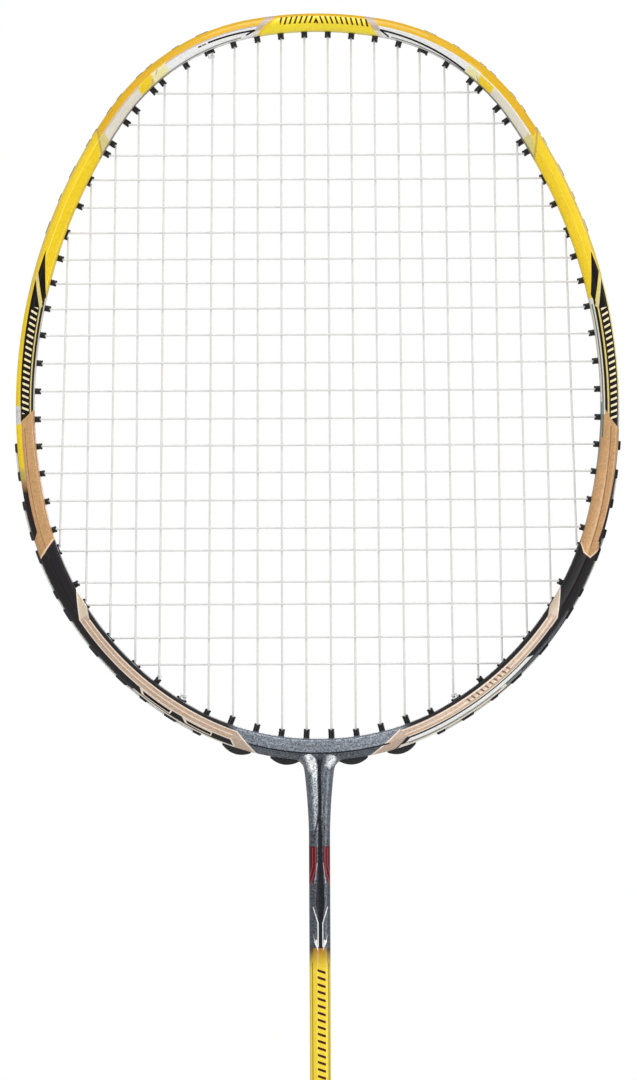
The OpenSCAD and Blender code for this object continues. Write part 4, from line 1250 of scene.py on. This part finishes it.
def band_height(phase):
    """Height of the wound band across its width: a rounded step up, then a soft slope down."""
    edge = min(1.0, phase / 0.045)
    rise = math.sin(edge * math.pi / 2)
    seam = -0.35 * math.exp(-((phase - 0.0) / 0.012) ** 2) - 0.35 * math.exp(-((phase - 1.0) / 0.012) ** 2)
    stitch = 0.10 * math.exp(-((phase - 0.13) / 0.014) ** 2) + 0.10 * math.exp(-((phase - 0.9) / 0.014) ** 2)
    return BAND_STEP * rise * (1 - 0.55 * phase) + seam + stitch


def grip():
    low, high = (c.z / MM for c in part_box("grip_wrap"))
    count, shape, rings, s, u, wind = 230, Shape(), [], [], [], []
    levels = np.arange(low, high + 0.01, 0.5)
    for z in levels:
        flare = GRIP_FLARE * max(0.0, (FLARE_TOP - z) / (FLARE_TOP - low))
        base = octagon_loop(GRIP_W - 0.9 + flare, GRIP_D - 0.9 + flare, 3.2, count)
        around = base[-1][2] + base[1][2]
        ring = []
        for k, (x, y, v) in enumerate(base):
            out = outwards(base, k)
            climb = (z - low) / BAND_PITCH - v / around
            rise = band_height(climb % 1.0)
            end = min(1.0, (high - z) / 1.2, (z - low + 0.4) / 1.2)
            rise = rise * end - 0.5 * (1 - end)
            ring.append((x + out[0] * rise, y + out[1] * rise, z))
            wind.append(climb % 1.0)
            s.append(v * 0.94 + (z - low) * 0.26)
            u.append((z - low) * 0.97 - v * BAND_PITCH / around)
        rings.append(ring)
    shape.loft(rings, s=s, u=u, wind=wind)
    shape.make("wound_grip", grip_finish(), "grip_tape", ["grip_wrap"], sharp=70)


def collar():
    """Finishing tape round the top of the grip: slightly wavy, with an overlapping end."""
    low, high = (c.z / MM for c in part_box("grip_collar"))
    shape, rings = Shape(), []
    profile = [(0.0, 0.0), (0.22, 0.15), (0.4, 0.6)] + [(0.4, h) for h in np.arange(1.4, high - low - 1, 0.8)]
    tall = high - low
    profile += [(0.4, tall - 0.6), (0.22, tall - 0.15), (0.0, tall), (-0.5, tall), (-0.5, 0.0)]
    for extra, h in profile:
        ring = []
        base = octagon_loop(GRIP_W, GRIP_D, 3.2, 200)
        for k, (x, y, v) in enumerate(base):
            out = outwards(base, k)
            wave = 0.06 * math.sin(v * 0.9 + h * 0.7) + 0.05 * math.sin(v * 2.3 - h)
            lap = 0.14 if 8 < v < 20 + 0.3 * h else 0.0
            rise = extra - 0.2 + (wave + lap if extra > 0.3 else 0)
            ring.append((x + out[0] * rise, y + out[1] * rise, low + h))
        rings.append(ring)
    shape.loft(rings, close=True)
    shape.make("finishing_tape", collar_finish(), "collar_tape", ["grip_collar"], sharp=50)


def cone():
    """Tapered collar between grip and shaft, with grip rings and a soft lip."""
    low, high = (c.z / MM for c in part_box("cone_cap"))
    foot, tip, shoulder = 10.7, 4.7, low + 4
    profile = [(SHAFT_R, low), (foot - 0.7, low), (foot - 0.4, low + 0.3), (foot - 0.4, shoulder)]
    for share in np.linspace(0, 1, 60):
        z = shoulder + (high - 0.6 - shoulder) * share
        r = foot + (tip - foot) * (share * 0.75 + 0.25 * math.sin(share * math.pi / 2))
        ring = 0.22 * max(0.0, math.cos(2 * math.pi * (z - shoulder) / 2.4)) if share < 0.42 else 0
        profile.append((r - 0.22 + ring, z))
    profile += [(tip + 0.12, high - 0.5), (tip, high - 0.12), (tip - 0.25, high)]
    profile += [(SHAFT_R + 0.1, high), (SHAFT_R, high - 0.3)]
    shape = Shape()
    lathe(shape, profile, 96, closed=True)
    plastic = moulded("cap_plastic", (20, 20, 21), (36, 36, 38), 1100, (0.32, 0.5), 0.05)
    shape.make("ringed_cone_cap", plastic, "cap_plastic", ["cone_cap"], sharp=50)
    return plastic


def butt(plastic):
    """Butt cap with rounded edges, a rolled rim, and a recess for the badge."""
    width, depth = 32.0, 29.0
    levels = [(0.0, -4.2), (0.15, -3.0), (0.5, -1.9), (1.1, -0.9), (1.9, -0.25), (2.8, 0.0), (5.2, 0.0),
              (5.6, -0.15), (5.9, -0.5), (6.2, -0.5), (6.5, -0.15), (7.0, -0.1), (8.2, -0.35), (8.8, -0.7),
              (9.0, -1.2)]
    count, shape = 180, Shape()
    rings = []
    for z, extra in levels:
        rings.append([(x, y, z) for x, y, _ in octagon_loop(width + extra, depth + extra, 4.2, count)])
    inner = [(8.9, 6.0), (8.6, 5.2)]
    turn = [math.atan2(p[1], p[0]) for p in rings[0]]
    for z, r in inner:
        rings.append([(r * math.cos(a), r * math.sin(a), z) for a in turn])
    dish = [(0.9, 8.6), (0.9, 9.02), (0.12, 9.12), (0.0, 9.4)]
    front = [[(r * math.cos(a), r * math.sin(a), z) for a in turn] for z, r in dish]
    shape.loft(front + rings)
    shape.make("rolled_butt_cap", plastic, "cap_plastic", ["butt_cap"], sharp=45)
    badge = Shape()
    dome = [(0.02, 0.12), (2.4, 0.14), (4.6, 0.2), (6.6, 0.3), (8.0, 0.42), (8.7, 0.55), (8.98, 0.75),
            (8.98, 0.86)]
    lathe(badge, dome, 96)
    badge.make("domed_badge", badge_finish(), "badge", ["butt_badge"], sharp=50)


def hidden_parts():
    """CAD nodes whose own shape is right: they only get a finish."""
    for node, material, slot in (("handle_core", wood_finish(), "handle_wood"),
                                 ("t_joint_core", laminate_finish(), "core_laminate"),
                                 ("grip_staples", steel_finish(), "staple_steel")):
        piece = frame["nodes"][node]
        piece.data.materials.clear()
        piece.data.materials.append(material)


# ---- Stage, light and camera ----
def stage():
    shape = bpy.data.meshes.new("floor")
    work = bmesh.new()
    bmesh.ops.create_circle(work, cap_ends=True, segments=96, radius=1.1)
    work.to_mesh(shape)
    work.free()
    floor = bpy.data.objects.new("floor", shape)
    bpy.context.scene.collection.objects.link(floor)
    finish = Finish("floor", Specular_IOR_Level=0.1)
    place = finish.place()
    finish.feed("Base Color", finish.between(finish.noise(place, 6), (232, 232, 231), (240, 240, 239)))
    finish.feed("Roughness", finish.ramp(finish.noise(place, 40), 0, 1, 0.7, 0.9))
    shape.materials.append(finish.material)


def world(seen=1.0, light=0.4):
    """White to the camera, and a softer even light on the object."""
    made = bpy.data.worlds.new("studio")
    bpy.context.scene.world = made
    made.use_nodes = True
    nodes, links = made.node_tree.nodes, made.node_tree.links
    background = nodes["Background"]
    path = nodes.new("ShaderNodeLightPath")
    strength = nodes.new("ShaderNodeMapRange")
    links.new(path.outputs["Is Camera Ray"], strength.inputs[0])
    strength.inputs[3].default_value, strength.inputs[4].default_value = light, seen
    links.new(strength.outputs[0], background.inputs["Strength"])
    background.inputs["Color"].default_value = (1, 1, 1, 1)


def softbox(name, place, aim, size, power):
    lamp = bpy.data.lights.new(name, "AREA")
    lamp.shape, lamp.size, lamp.size_y, lamp.energy = "RECTANGLE", size[0], size[1], power
    box = bpy.data.objects.new(name, lamp)
    bpy.context.scene.collection.objects.link(box)
    box.location = place
    away = np.subtract(aim, place)
    box.rotation_euler = Vector(away).to_track_quat("-Z", "Y").to_euler()


def lights():
    middle = (0, 0, 0.45)
    softbox("left_box", (-0.7, -1.55, 0.9), middle, (0.5, 1.6), 10.5)
    softbox("right_box", (1.65, -0.5, 0.7), middle, (0.5, 1.6), 9)
    softbox("top_box", (0, -0.7, 2.1), middle, (1.2, 0.6), 10)
    softbox("back_box", (0.5, 1.9, 1.2), middle, (1.6, 1.2), 16)


VIEW_HEIGHT = 367.2 * MM        # what the picture's height covers at the racket
VIEW_CENTRE = (0.1 * MM, 495.8 * MM)
CAMERA_AWAY = 2.0
VIEWED_DEPTH = 4 * MM           # the picture's scale holds at the front of the head
CAMERA_ROLL = 0.246             # degrees


def camera():
    lens = bpy.data.cameras.new("camera")
    lens.sensor_width = 36
    lens.lens = CAMERA_AWAY * lens.sensor_width / VIEW_HEIGHT
    lens.clip_start, lens.clip_end = 0.05, 20
    eye = bpy.data.objects.new("camera", lens)
    bpy.context.scene.collection.objects.link(eye)
    eye.location = (VIEW_CENTRE[0], -CAMERA_AWAY - VIEWED_DEPTH, VIEW_CENTRE[1])
    eye.rotation_euler = (math.radians(90), math.radians(CAMERA_ROLL), 0)
    bpy.context.scene.camera = eye


bpy.context.scene.view_settings.view_transform = "Standard"
camera()
world()
lights()
stage()
head_frame()
throat()
shaft()
strings()
grommets()
grip()
collar()
butt(cone())
hidden_parts()
